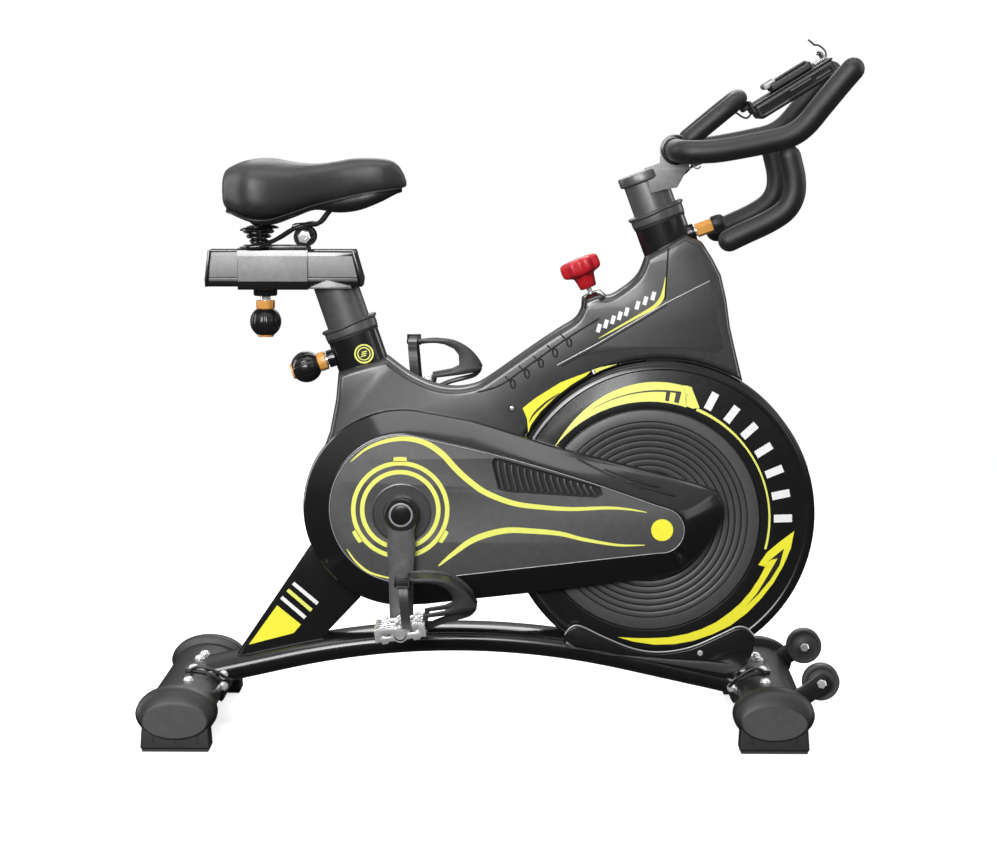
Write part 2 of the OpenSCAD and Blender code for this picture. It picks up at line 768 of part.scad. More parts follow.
function pad_section(t) =
    let (x = saddle_back + 2 + t * (saddle_len - 4), top = along(top_z, t),
         low = along(seam_z, t) + 1, w = along(half_w, t) * saddle_w / 100)
    concat([for (i = [0:16]) let (a = 180 * i / 16)
        [x, w * sign(cos(a)) * pow(abs(cos(a)), 0.6), low + (top - low) * pow(sin(a), 0.6)]]);
function base_section(t) =
    let (x = saddle_back + 2 + t * (saddle_len - 4), top = along(seam_z, t),
         low = along(low_z, t), w = (along(half_w, t) - 1) * saddle_w / 100)
    [for (i = [0:12]) let (a = 180 * i / 12)
        [x, w * cos(a), top - max(top - low, 1) * pow(sin(a), 0.4)]];

module saddle_pad() {
    color("#1f2023") lofted([for (i = [0:24]) pad_section(i / 24)]);
}
module saddle_base() {
    color("#121213") lofted([for (i = [0:24]) [for (k = [12:-1:0]) base_section(i / 24)[k]]]);
}

// ---------- handlebar ----------

cross_c = [275, 918];
gusset = [[226, 888], [262, 900], [318, 897], [292, 886], [277, 859], [262, 857],
    [236, 850]];
module handlebar_post() {
    color("#4c4d50") {
        leant(head_o, head_lean) translate([0, 0, bar_post_s[0]])
            linear_extrude(height = bar_post_s[1] - bar_post_s[0]) difference() {
                polygon(oval(post_a, post_b));
                polygon(oval(post_a - wall, post_b - wall));
            }
        leant(head_o, head_lean) translate([0, 0, 88])
            linear_extrude(height = 11) polygon(oval(post_a + 5, post_b + 5));
        for (side = [0, 1]) mirror([0, side, 0]) slab(20, 24) difference() {
            union() {
                polygon(gusset);
                translate(cross_c) circle(r = 24);
                polygon([[252, 905], [252, 890], [299, 890], [299, 912]]);
            }
            translate(cross_c) circle(r = bar_r + nib);
            translate([298, 893]) circle(r = 3, $fn = 24);
        }
    }
}

horn = [[cross_c[0], -110, 918], [cross_c[0], -138, 918], [280, -158, 917.5],
    [298, -169, 917], [330, -horn_y, 918.5], [370, -horn_y, 925], [410, -horn_y, 933],
    [440, -horn_y, 941], [464, -horn_y, 957], [490, -horn_y, 988], [518, -horn_y, 1022],
    [547.4, -horn_y, 1056]];
function flip(p) = [for (i = [len(p) - 1:-1:0]) [p[i][0], -p[i][1], p[i][2]]];
module main_bar() {
    half = spline(horn, 3);
    color("#151516") swept(concat([for (i = [len(half) - 1:-1:0]) half[i]],
        [[cross_c[0], 0, 918]], [for (p = half) [p[0], -p[1], p[2]]]), bar_r, [0.25, 0, 1], 12);
}

inner = [[286, -60, 927.5], [320, -60, 956], [348, -59, 979], [364, -52, 992],
    [371, -34, 998], [372, 0, 999]];
module inner_bar() {
    half = spline(inner, 3);
    color("#151516") swept(concat(half, [for (i = [len(half) - 2:-1:0])
        [half[i][0], -half[i][1], half[i][2]]]), 14, [-0.6, 0, 1], 10);
}

drop = [[437, -horn_y, 927], [444, -horn_y, 900], [449, -horn_y, 876], [448, -horn_y, 851],
    [436, -horn_y, 829], [410, -horn_y, 811], [372, -horn_y, 793], [335, -horn_y, 775]];
module drop_bars() {
    color("#151516") for (side = [0, 1]) mirror([0, side, 0])
        swept(spline(drop, 4), bar_r - 1, [0, 1, 0], 12);
}

// Console pieces are drawn flat: u along the tray, v across the bike, w off its face
module on_tray() { translate(tray_o) rotate([0, -tray_deg, 0]) children(); }
module tablet_tray() {
    color("#1c1c1e") {
        on_tray() {
            translate([6, -tray_y, -20]) cube([132, 2 * tray_y, 20]);
            translate([2, -tray_y, -20]) cube([6, 2 * tray_y, 28]);
            translate([-11, -22, -4]) cube([18, 44, 10]);
        }
    }
}
module console_housing() {
    color("#2e2f31") on_tray() {
        difference() {
            translate([44, -46, 0.1]) cube([74, 92, 14]);
            translate([50, -40, 12]) cube([62, 80, 3]);
        }
    }
}
module tablet_clip() {
    color("#b5b6b9") on_tray() {
        translate([122, -26, 0.4]) cube([22, 52, 5]);
        translate([138.5, -26, 0.4]) cube([5.5, 52, 16]);
    }
}
lead_low = [[393, -12, 974.5], [386, -22, 968], [377, -34, 970], [365, -41, 976],
    [348, -42, 964], [320, -42, 943], [304, -40, 927], [302, -32, 912], [304, -22, 905],
    [300, -13, 893], [288, -12, 880], [267, -12, 873]];
lead_top = [[509, 32, 1053], [513, 32, 1062], [513, 34, 1072], [507, 35, 1079],
    [500, 35, 1083], [495, 32, 1083], [490, 29, 1087], [485, 30, 1091]];
module console_leads() {
    color("#1a1a1a") for (p = [lead_low, lead_top]) swept(spline(p, 3), 1.5, [0, 1, 0.1], 6);
}

// ---------- knobs ----------

// Pull knob: stem from s0 along the pulling direction, orange collar, fluted ball
module pull_knob(s0, s1) {
    translate([0, 0, s0]) cylinder(r = stem_r, h = s1 - s0);
    translate([0, 0, s1 - 1]) cylinder(r = collar_r, h = 13);
    difference() {
        translate([0, 0, s1 + 11 + ball_r - 3]) sphere(r = ball_r);
        translate([0, 0, s1 - 20]) cylinder(r = ball_r + 1, h = 31);
    }
    translate([0, 0, s1 + 11 + 2 * ball_r - 6]) cylinder(r = 13, h = 4);
}
module seat_knob() {
    color("#c98a3c") leant(seat_knob_o, 90 + seat_lean) pull_knob(post_a + 1.5, 51);
}
sleeve_s = [50, 77];
grip_s = [77, 97];
module bar_knob() {
    color("#c98a3c") leant(bar_knob_o, head_lean - 90) {
        translate([0, 0, post_a + 1.5]) cylinder(r = stem_r, h = sleeve_s[0] - post_a - 1.5);
        translate([0, 0, sleeve_s[0]]) cylinder(r = 11, h = sleeve_s[1] - sleeve_s[0], $fn = 6);
        translate([0, 0, grip_s[0]]) cylinder(r = 13, h = grip_s[1] - grip_s[0] - 4);
        translate([0, 0, grip_s[1] - 4]) cylinder(r1 = 13, r2 = 9, h = 4);
    }
}
module slider_knob() {
    color("#c98a3c") translate([slider_x, 0, rail_z[0] - 1.5]) rotate([180, 0, 0])
        pull_knob(0, 22.5);
}

module brake_rod() {
    color("#c9c9cc") leant(brake_o, brake_lean) translate([0, 0, -rod_len])
        cylinder(r = rod_r, h = rod_len + 6);
}
module brake_pad() {
    color("#7a5a3a") difference() {
        leant(brake_o, brake_lean) translate([-24, -13, -rod_len - 20]) cube([48, 26, 20]);
        shaft(fly_x, fly_z, fly_r + pad_gap, -20, 20);
    }
}
module tension_knob() {
    lobes = 7;
    color("#c01824") leant(brake_o, brake_lean) difference() {
        union() {
            translate([0, 0, -11.5]) linear_extrude(height = 23) {
                circle(r = 27);
                for (i = [0:lobes - 1]) rotate(360 * i / lobes) translate([25, 0]) circle(r = 8.5);
            }
            translate([0, 0, -37]) cylinder(r = 14.5, h = 26);
        }
        translate([0, 0, -38]) cylinder(r = rod_r + run, h = 38 + 6 + nib);
    }
}

// ---------- transport wheels ----------

module transport_wheel_brackets() {
    color("#2b2c2f") for (side = [0, 1]) mirror([0, side, 0]) slab(166, 171) difference() {
        union() {
            translate([twheel_c[0], twheel_c[2]]) circle(r = 16);
            polygon(band([[448, 64], [twheel_c[0], twheel_c[2]]], 32));
        }
        stab_oval(front_x);
        translate([twheel_c[0], twheel_c[2]]) circle(r = rod_r);
    }
}
module transport_wheel() {
    color("#1e1e20") translate([twheel_c[0], -twheel_c[1] - twheel_w / 2, twheel_c[2]])
        rotate([-90, 0, 0]) rotate_extrude() polygon([[rod_r + run, 0], [twheel_r - 4, 0],
            [twheel_r, 4], [twheel_r, twheel_w - 4], [twheel_r - 4, twheel_w],
            [rod_r + run, twheel_w]]);
}
module right_transport_wheel() { transport_wheel(); }
module left_transport_wheel() { mirror([0, 1, 0]) transport_wheel(); }

base_beam();
rear_stabilizer();
front_stabilizer();
end_caps();
foot_pads();
frame_fasteners();
retaining_cords();
frame_weldment();
frame_cover_right();
frame_cover_left();
tube_collars();
badge_ring();
belt_cover_outer();
belt_cover_face();
belt_cover_inner();
vent_grille();
drive_belt();
bottom_bracket_bearings();
wheel_cover_right();
wheel_cover_left();
wheel_cradles();
flywheel_bearings();
transport_wheel_brackets();
crank_spindle();
right_crank();
left_crank();
crank_caps();
drive_pulley();
pedal_axles();
flywheel();
flywheel_axle();
driven_pulley();
right_pedal();
right_toe_clip();
left_pedal();
left_toe_clip();
seat_post();
rail_end_caps();
seat_carriage();
saddle_clamp();
saddle_rails();
saddle_springs();
saddle_base();
saddle_pad();
handlebar_post();
main_bar();
inner_bar();
drop_bars();
tablet_tray();
console_housing();
console_leads();
tablet_clip();
seat_knob();
bar_knob();
slider_knob();
brake_rod();
brake_pad();
tension_knob();
right_transport_wheel();
left_transport_wheel();
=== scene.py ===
"""Looks of an indoor cycling bike, built round its CAD frame.

Lengths are millimetres in the frame's axes (+X forward, +Y the rider's left, +Z up) and MM
turns them into metres. Right-hand faces look along -Y, towards the camera.
"""

import json
from contextlib import contextmanager
from math import copysign, cos, exp, hypot, pi, radians, sin, sqrt, tan, tanh

import bmesh
import bpy
from mathutils import Matrix, Vector

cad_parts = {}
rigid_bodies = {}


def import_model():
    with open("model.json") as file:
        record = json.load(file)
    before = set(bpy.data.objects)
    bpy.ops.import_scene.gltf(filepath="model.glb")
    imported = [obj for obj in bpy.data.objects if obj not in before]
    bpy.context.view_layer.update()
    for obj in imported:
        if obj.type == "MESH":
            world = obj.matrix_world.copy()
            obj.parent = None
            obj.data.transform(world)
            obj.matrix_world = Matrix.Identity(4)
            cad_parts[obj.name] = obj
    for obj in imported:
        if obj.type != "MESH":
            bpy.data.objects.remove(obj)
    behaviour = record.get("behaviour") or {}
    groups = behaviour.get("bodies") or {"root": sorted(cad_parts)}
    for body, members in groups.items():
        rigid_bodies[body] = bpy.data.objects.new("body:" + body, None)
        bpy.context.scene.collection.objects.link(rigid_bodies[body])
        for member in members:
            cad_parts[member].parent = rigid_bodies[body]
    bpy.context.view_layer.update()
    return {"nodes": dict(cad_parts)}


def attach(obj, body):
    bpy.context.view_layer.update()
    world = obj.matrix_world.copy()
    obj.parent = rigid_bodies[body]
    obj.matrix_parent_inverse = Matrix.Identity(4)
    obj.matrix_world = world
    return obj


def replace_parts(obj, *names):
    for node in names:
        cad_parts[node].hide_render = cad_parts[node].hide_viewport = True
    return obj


MM = 0.001
SIDES = ((-1, "right"), (1, "left"))
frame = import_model()
nodes = frame["nodes"]
scene = bpy.context.scene


# ---------- camera, light and floor ----------

def make_camera():
    data = bpy.data.cameras.new("camera")
    data.lens, data.sensor_width = 104.6, 36.0
    data.clip_end = 100
    camera = bpy.data.objects.new("camera", data)
    camera.location = (0.0754, -4.6058, 0.9850)
    camera.rotation_euler = (radians(90 - 6.36), 0, radians(1.0))
    scene.collection.objects.link(camera)
    scene.camera = camera


def area_light(name, place, target, size, power):
    data = bpy.data.lights.new(name, "AREA")
    data.shape, data.size, data.size_y = "RECTANGLE", size[0], size[1]
    data.energy = power
    light = bpy.data.objects.new(name, data)
    light.location = place
    way = Vector(target) - Vector(place)
    light.rotation_euler = way.to_track_quat("-Z", "Y").to_euler()
    scene.collection.objects.link(light)


def make_world():
    """A white room to the eye, and in reflections one that darkens towards the floor."""
    world = bpy.data.worlds.new("studio")
    world.use_nodes = True
    tree = world.node_tree
    tree.nodes.clear()
    out, seen, lit, place, axes, ramp, path, mix = [tree.nodes.new(kind) for kind in (
        "ShaderNodeOutputWorld", "ShaderNodeBackground", "ShaderNodeBackground", "ShaderNodeTexCoord",
        "ShaderNodeSeparateXYZ", "ShaderNodeValToRGB", "ShaderNodeLightPath", "ShaderNodeMixShader")]
    seen.inputs["Color"].default_value = (1, 1, 1, 1)
    seen.inputs["Strength"].default_value = 1.0
    lit.inputs["Strength"].default_value = 0.60
    dark, pale = ramp.color_ramp.elements
    dark.position, dark.color = 0.0, (0.07, 0.07, 0.072, 1)
    pale.position, pale.color = 0.8, (1, 1, 1, 1)
    link = tree.links.new
    link(place.outputs["Generated"], axes.inputs[0])
    link(axes.outputs["Z"], ramp.inputs["Fac"])
    link(ramp.outputs["Color"], lit.inputs["Color"])
    link(path.outputs["Is Camera Ray"], mix.inputs["Fac"])
    link(lit.outputs[0], mix.inputs[1])
    link(seen.outputs[0], mix.inputs[2])
    link(mix.outputs[0], out.inputs["Surface"])
    scene.world = world


def make_floor():
    bpy.ops.mesh.primitive_circle_add(vertices=96, radius=3.4, fill_type="NGON")
    floor = bpy.context.object
    floor.name = "floor"
    floor.location.z = -0.0005
    material = bpy.data.materials.new("studio_floor")
    material.use_nodes = True
    shader = material.node_tree.nodes["Principled BSDF"]
    shader.inputs["Base Color"].default_value = (0.93, 0.93, 0.93, 1)
    shader.inputs["Roughness"].default_value = 0.8
    shader.inputs["Emission Color"].default_value = (1, 1, 1, 1)
    shader.inputs["Emission Strength"].default_value = 0.62
    floor.data.materials.append(material)
    floor.visible_glossy = False
    floor.visible_diffuse = False


make_camera()
make_world()
make_floor()
area_light("top_soft", (0.1, -0.5, 3.2), (0, 0, 0.3), (3.0, 1.6), 34)
area_light("front_key", (-1.35, -3.9, 2.1), (0.1, 0, 0.5), (2.2, 2.2), 158)
area_light("front_high", (-0.42, -5.0, 1.62), (0.2, 0, 0.5), (1.4, 1.2), 52)
area_light("front_fill", (2.9, -3.0, 1.7), (0, 0, 0.5), (0.9, 1.6), 6)
area_light("rim_left", (-3.2, 0.7, 1.4), (0, 0, 0.6), (0.7, 2.6), 34)
area_light("rim_right", (3.2, 0.7, 1.6), (0, 0, 0.6), (0.7, 2.6), 26)
area_light("back_soft", (0.2, 3.6, 2.6), (0, 0, 0.5), (2.6, 1.6), 40)
scene.view_settings.view_transform = "Standard"


# ---------- materials ----------

DRIFT_SCALE = 90.0
ROUGH_DRIFT = 0.06


class Look:
    """A finish and the record slot that it belongs to."""

    def __init__(self, material, slot):
        self.material, self.slot = material, slot


def grey(level, blue=0.0):
    return (level, level, level + blue)


def finish(name, slot, colour, rough, metal=0.0, coat=0.0, sheen=0.0, vary=0.10,
           bump=0.0, bump_scale=900.0, kind="noise"):
    """A procedural finish: colour and roughness drift over the surface, with a fine relief."""
    material = bpy.data.materials.new(name)
    material.use_nodes = True
    tree = material.node_tree
    link = tree.links.new
    shader = tree.nodes["Principled BSDF"]
    for socket, value in (("Metallic", metal), ("Coat Weight", coat), ("Coat Roughness", 0.08),
                          ("Sheen Weight", sheen)):
        shader.inputs[socket].default_value = value
    place = tree.nodes.new("ShaderNodeTexCoord").outputs["Object"]

    def noise(scale, detail, where=place):
        node = tree.nodes.new("ShaderNodeTexNoise")
        node.inputs["Scale"].default_value = scale
        node.inputs["Detail"].default_value = detail
        link(where, node.inputs["Vector"])
        return node.outputs["Fac"]

    shade_ramp = tree.nodes.new("ShaderNodeValToRGB")
    low, high = shade_ramp.color_ramp.elements
    low.position, high.position = 0.3, 0.7
    low.color = (*[c * (1 - vary) for c in colour], 1)
    high.color = (*[min(c * (1 + vary), 1) for c in colour], 1)
    link(noise(DRIFT_SCALE, 4), shade_ramp.inputs["Fac"])
    link(shade_ramp.outputs["Color"], shader.inputs["Base Color"])
    span = tree.nodes.new("ShaderNodeMapRange")
    span.inputs["To Min"].default_value = max(rough - ROUGH_DRIFT, 0.03)
    span.inputs["To Max"].default_value = min(rough + ROUGH_DRIFT, 1.0)
    link(noise(DRIFT_SCALE * 0.35, 3), span.inputs["Value"])
    link(span.outputs["Result"], shader.inputs["Roughness"])
    if bump:
        if kind == "grain":
            relief = tree.nodes.new("ShaderNodeTexVoronoi")
            relief.inputs["Scale"].default_value = bump_scale
            link(place, relief.inputs["Vector"])
            height = relief.outputs["Distance"]
        elif kind == "turned":
            stretch = tree.nodes.new("ShaderNodeMapping")
            stretch.inputs["Scale"].default_value = (1.0, 30.0, 1.0)
            link(place, stretch.inputs["Vector"])
            height = noise(bump_scale, 2, stretch.outputs["Vector"])
        else:
            height = noise(bump_scale, 3)
        node = tree.nodes.new("ShaderNodeBump")
        node.inputs["Strength"].default_value = bump
        node.inputs["Distance"].default_value = 0.0004
        link(height, node.inputs["Height"])
        link(node.outputs["Normal"], shader.inputs["Normal"])
    return Look(material, slot)


LOOK = {
    "paint": finish("black_powder_coat", "frame_paint", grey(0.009, 0.0005), 0.20, coat=0.35, bump=0.05),
    "leg": finish("black_leg_paint", "frame_paint", grey(0.011, 0.0005), 0.30, coat=0.2, bump=0.05),
    "rail": finish("grey_rail_paint", "rail_paint", grey(0.225, 0.003), 0.42, metal=0.15, bump=0.05),
    "post": finish("dark_post_paint", "rail_paint", grey(0.088, 0.002), 0.34, metal=0.3, coat=0.2, bump=0.04),
    "shell": finish("gloss_shell", "cover_plastic", grey(0.009, 0.0005), 0.17, coat=0.45, bump=0.04),
    "cover": finish("satin_cover", "cover_plastic", grey(0.041, 0.001), 0.32, coat=0.35, bump=0.07),
    # Dark grey: painted shade on the panel made to look sunk into the covers; also dark slits in the wheel
    # prints
    "recess": finish("dark_recess", "cover_plastic", grey(0.026, -0.001), 0.5, bump=0.10),
    # Pale grey: painted highlights along edges and rims, and the small hook under the bar
    "line": finish("pale_edge_line", "cover_plastic", grey(0.42), 0.3, metal=0.4),
    # Near-black: painted shade in folds, grooves, slots, holes, gaps and the vent; also black prints, bezels
    # and the badge disc
    "gap": finish("shadow_gap", "cover_plastic", grey(0.004), 0.6),
    "face": finish("charcoal_face", "face_plastic", (0.062, 0.061, 0.061), 0.46, bump=0.12, bump_scale=1500),
    "wheel": finish("wheel_gloss", "wheel_plastic", grey(0.008, 0.0005), 0.22, coat=0.35, bump=0.04),
    "band": finish("wheel_satin_band", "wheel_plastic", grey(0.060), 0.42, bump=0.06),
    "rib": finish("wheel_rib", "wheel_plastic", grey(0.044, 0.001), 0.40, bump=0.06),
    "lime": finish("lemon_print", "badge", (0.93, 0.87, 0.045), 0.38, vary=0.03),
    "pale": finish("pale_lemon_print", "badge", (0.82, 0.84, 0.16), 0.38, vary=0.03),
    "white": finish("white_print", "badge", grey(0.88, -0.01), 0.4, vary=0.02),
    "cap": finish("end_cap_plastic", "cap_plastic", grey(0.015, 0.0005), 0.44, bump=0.22, bump_scale=1800,
                  kind="grain"),
    "cap_face": finish("end_cap_face", "cap_plastic", grey(0.062, 0.001), 0.48, bump=0.2, bump_scale=1800,
                       kind="grain"),
    "sole": finish("sole_rubber", "sole_rubber", grey(0.032), 0.7, bump=0.3),
    "chrome": finish("bright_bolt", "bolt_steel", grey(0.86, 0.01), 0.14, metal=0.6, vary=0.04, bump=0.04),
    "crank": finish("crank_satin", "crank_paint", grey(0.13, 0.002), 0.3, metal=0.3, coat=0.3, bump=0.05),
    "wire": finish("black_wire", "crank_paint", grey(0.012), 0.16, coat=0.6),
    "alloy": finish("cast_alloy", "pedal_alloy", grey(0.74, 0.01), 0.24, metal=0.72, bump=0.12,
                    bump_scale=700),
    "nylon": finish("black_nylon", "clip_plastic", grey(0.010), 0.34, bump=0.15, bump_scale=2200),
    "iron": finish("turned_iron", "fly_iron", grey(0.30, 0.01), 0.34, metal=0.9, bump=0.2, kind="turned"),
    "steel": finish("machined_steel", "drive_steel", grey(0.46, 0.02), 0.3, metal=0.95, bump=0.2,
                    kind="turned"),
    "belt": finish("belt_rubber", "belt_rubber", grey(0.016), 0.62, bump=0.4, kind="turned"),
    "foam": finish("foam_grip", "foam_grip", grey(0.010, 0.0005), 0.42, sheen=0.05, bump=0.30,
                   bump_scale=2600, kind="grain"),
    "vinyl": finish("saddle_vinyl", "vinyl", grey(0.030, 0.001), 0.40, sheen=0.03, bump=0.28, bump_scale=1500,
                    kind="grain"),
    "seat_shell": finish("saddle_shell", "seat_shell", grey(0.012), 0.36, bump=0.2, bump_scale=1600),
    "ball": finish("knob_black", "knob_orange", grey(0.010), 0.24, coat=0.2),
    "orange": finish("knob_orange", "knob_orange", (0.76, 0.36, 0.085), 0.30, coat=0.3, vary=0.06),
    "red": finish("knob_red", "knob_red", (0.50, 0.010, 0.020), 0.4, coat=0.12, vary=0.06, bump=0.04),
    "felt": finish("brake_felt", "pad_felt", (0.36, 0.27, 0.18), 0.95, sheen=0.3, bump=0.6),
    "console": finish("console_black", "console_plastic", grey(0.018, 0.001), 0.34, bump=0.12,
                      bump_scale=1800),
    "screen": finish("console_screen", "console_plastic", (0.055, 0.060, 0.062), 0.08, coat=0.8, vary=0.04),
    "visor": finish("smoked_visor", "console_plastic", grey(0.42, 0.01), 0.16, coat=0.4, vary=0.04),
    "clip": finish("sprung_clip", "clip_metal", grey(0.66, 0.02), 0.2, metal=1.0, bump=0.06),
    "wheel_rubber": finish("wheel_rubber", "wheel_rubber", grey(0.045, 0.001), 0.42, bump=0.15),
    "lead": finish("black_lead", "lead_pvc", grey(0.014), 0.35),
}


# ---------- lines and outlines ----------

def turns(count):
    """Angles of count even steps round a circle."""
    return [2 * pi * k / count for k in range(count)]


def soft(value, power):
    """A sine or cosine raised to a power with its sign kept, which squares an oval off."""
    return copysign(abs(value) ** power, value)


def between(a, b, c, d, t):
    """Share t of the way from b to c on a smooth line through a, b, c and d."""
    bend, twist = 2 * a - 5 * b + 4 * c - d, 3 * b - a - 3 * c + d
    return 0.5 * (2 * b + (c - a) * t + bend * t * t + twist * t ** 3)


def curve(points, steps=6):
    """A smooth line through points of two or three numbers."""
    points = [Vector(p) for p in points]
    last = len(points) - 1
    out = []
    for i in range(last):
        near = [points[max(0, min(i + k, last))] for k in (-1, 0, 1, 2)]
        out += [between(*near, k / steps) for k in range(steps)]
    return out + [points[-1]]


def arc(centre, radius, start, end, steps=24):
    angles = [radians(start + (end - start) * i / steps) for i in range(steps + 1)]
    return [Vector((centre[0] + radius * cos(a), centre[1] + radius * sin(a))) for a in angles]


def oval(a, b, cx=0.0, cz=0.0, count=64):
    return [Vector((cx + a * cos(t), cz + b * sin(t))) for t in turns(count)]


def with_normals(line):
    """Points of a flat line, each with the normal on its left."""
    out = []
    for i, p in enumerate(line):
        way = (line[min(i + 1, len(line) - 1)] - line[max(i - 1, 0)]).normalized()
        out.append((p, Vector((-way.y, way.x))))
    return out


def inset(outline, d):
    """An anticlockwise outline moved inward by d, point by point."""
    out = []
    for i, p in enumerate(outline):
        p = Vector(p)
        a = (p - Vector(outline[i - 1])).normalized()
        b = (Vector(outline[(i + 1) % len(outline)]) - p).normalized()
        m = Vector((-a.y - b.y, a.x + b.x))
        m = m.normalized() if m.length > 1e-6 else Vector((-a.y, a.x))
        out.append(p + m * d / max(m.dot(Vector((-a.y, a.x))), 0.4))
    return out


def facing(outline, y):
    """An X-Z outline as points in space at that y."""
    return [Vector((p[0], y, p[1])) for p in outline]


def ribbon(points, width, ends=(0.0, 0.0), peak=0.5):
    """An X-Z outline along a line: widest at peak along it, and that share of it at each end."""
    line = curve(points, 5)
    left, right = [], []
    for i, (p, normal) in enumerate(with_normals(line)):
        t = i / (len(line) - 1)
        s = t / peak if t < peak else (1 - t) / (1 - peak)
        end = ends[0] if t < peak else ends[1]
        w = width / 2 * max(end + (1 - end) * sin(pi / 2 * max(s, 0)) ** 0.8, 0.02)
        left.append(p + normal * w)
        right.append(p - normal * w)
    return right + left[::-1]


def leant(origin, lean):
    """Turns a point along a leaning post (x across, y sideways, z along it) into the frame."""
    turn = Matrix.Rotation(radians(-lean), 3, "Y")
    return lambda x, y, z: Vector(origin) + turn @ Vector((x, y, z))


# ---------- mesh helpers ----------

BOX_FACES = ((3, 2, 1, 0), (4, 5, 6, 7), (0, 1, 5, 4), (1, 2, 6, 5), (2, 3, 7, 6), (3, 0, 4, 7))


@contextmanager
def edited(mesh):
    """The mesh as a bmesh that is written back at the end."""
    bm = bmesh.new()
    bm.from_mesh(mesh)
    yield bm
    bm.to_mesh(mesh)
    bm.free()


def link_piece(name, mesh, look, body, replaces):
    obj = bpy.data.objects.new(name, mesh)
    scene.collection.objects.link(obj)
    obj.data.materials.clear()
    obj.data.materials.append(LOOK[look].material)
    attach(obj, body)
    if replaces:
        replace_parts(obj, *replaces)
    return obj


def shade(obj, smooth):
    obj.data.shade_smooth()
    obj.data.set_sharp_from_angle(angle=radians(smooth))


def round_edges(obj, width, segments=3, angle=38.0):
    tool = obj.modifiers.new("round", "BEVEL")
    tool.width, tool.segments = width * MM, segments
    tool.limit_method, tool.angle_limit = "ANGLE", radians(angle)
    tool.harden_normals = True


def add(name, points, faces, look, body="frame", replaces=(), smooth=38.0, bevel=0.0, segments=3):
    """A mesh from points in millimetres, smooth but for edges sharper than smooth degrees."""
    mesh = bpy.data.meshes.new(name)
    mesh.from_pydata([Vector(p) * MM for p in points], [], faces)
    with edited(mesh) as bm:
        bmesh.ops.remove_doubles(bm, verts=bm.verts, dist=2e-6)
        bmesh.ops.dissolve_degenerate(bm, edges=bm.edges, dist=1e-6)
        bmesh.ops.recalc_face_normals(bm, faces=bm.faces)
    obj = link_piece(name, mesh, look, body, replaces)
    if bevel:
        round_edges(obj, bevel, segments, smooth)
    shade(obj, smooth)
    return obj


def box(name, low, high, look, body="frame", bevel=1.0, place=lambda x, y, z: (x, y, z)):
    """A box between two corners, in the axes that place turns into the frame's."""
    (x0, y0, z0), (x1, y1, z1) = low, high
    corners = [(x, y, z) for z in (z0, z1) for x, y in ((x0, y0), (x1, y0), (x1, y1), (x0, y1))]
    return add(name, [place(*c) for c in corners], BOX_FACES, look, body, bevel=bevel)


def skin(name, rings, look, body="frame", caps=(True, True), loop=False, **more):
    """Walls through rings of equal count, with flat ends, or joined last to first."""
    count, total = len(rings[0]), len(rings)
    faces = []
    for i in range(total if loop else total - 1):
        a, b = i * count, ((i + 1) % total) * count
        faces += [(a + k, a + (k + 1) % count, b + (k + 1) % count, b + k) for k in range(count)]
    if not loop and caps[0]:
        faces.append(tuple(range(count - 1, -1, -1)))
    if not loop and caps[1]:
        faces.append(tuple(range((total - 1) * count, total * count)))
    return add(name, [p for ring in rings for p in ring], faces, look, body, **more)


def plate(name, outlines, y0, y1, look, body="frame", edge=0.0, replaces=()):
    """A flat piece between y0 and y1 from X-Z outlines, holes among them, with rounded edges."""
    data = bpy.data.curves.new(name, "CURVE")
    data.dimensions, data.fill_mode = "2D", "BOTH"
    data.extrude = (abs(y1 - y0) / 2 - edge) * MM
    data.bevel_depth, data.bevel_resolution, data.offset = edge * MM, 2, -edge * MM
    for outline in outlines:
        line = data.splines.new("POLY")
        line.points.add(len(outline) - 1)
        for point, p in zip(line.points, outline):
            point.co = (p[0] * MM, p[1] * MM, 0, 1)
        line.use_cyclic_u = True
    drawn = bpy.data.objects.new(name + ".line", data)
    scene.collection.objects.link(drawn)
    bpy.context.view_layer.update()
    mesh = bpy.data.meshes.new_from_object(drawn.evaluated_get(bpy.context.evaluated_depsgraph_get()))
    bpy.data.objects.remove(drawn)
    bpy.data.curves.remove(data)
    mesh.transform(Matrix(((1, 0, 0, 0), (0, 0, -1, (y0 + y1) / 2 * MM), (0, 1, 0, 0), (0, 0, 0, 1))))
    mesh.name = name
    with edited(mesh) as bm:
        bmesh.ops.remove_doubles(bm, verts=bm.verts, dist=2e-6)
        bmesh.ops.recalc_face_normals(bm, faces=bm.faces)
    obj = link_piece(name, mesh, look, body, replaces)
    shade(obj, 38)
    return obj


def print_on(name, outline, y, look, thick=0.35):
    """A printed film that stands just proud of a side face of the frame, on the side that y is on."""
    outlines = outline if isinstance(outline[0], list) else [outline]
    return plate(name, outlines, y, y + copysign(thick, y), look)


def tube(name, path, radius, look, body="frame", sides=24, ends="round", replaces=()):
    """A bar swept along points in space, with domed or flat ends; radius is one number or a list."""
    path = [Vector(p) for p in path]
    radii = list(radius) if isinstance(radius, (list, tuple)) else [radius] * len(path)
    ways = [(path[min(i + 1, len(path) - 1)] - path[max(i - 1, 0)]).normalized() for i in range(len(path))]
    stations = list(zip(path, radii, ways))
    if ends == "round":
        dome = [(cos(a), sin(a)) for a in (radians(x) for x in (0, 22, 45, 66, 82))]
        tail = [(path[-1] + ways[-1] * radii[-1] * (s - 1), radii[-1] * c, ways[-1]) for c, s in dome]
        start = [(path[0] + ways[0] * radii[0] * (1 - s), radii[0] * c, ways[0]) for c, s in reversed(dome)]
        stations = start + [(p, r, w) for p, r, w in stations
                            if (p - path[0]).length > radii[0] and (p - path[-1]).length > radii[-1]] + tail
    side = ways[0].cross(Vector((0.31, 0.2, 1.0))).normalized()
    rings = []
    for p, r, way in stations:
        side = (side - way * side.dot(way)).normalized()
        up = way.cross(side)
        rings.append([p + side * r * cos(t) + up * r * sin(t) for t in turns(sides)])
    return skin(name, rings, look, body, replaces=replaces, smooth=50)


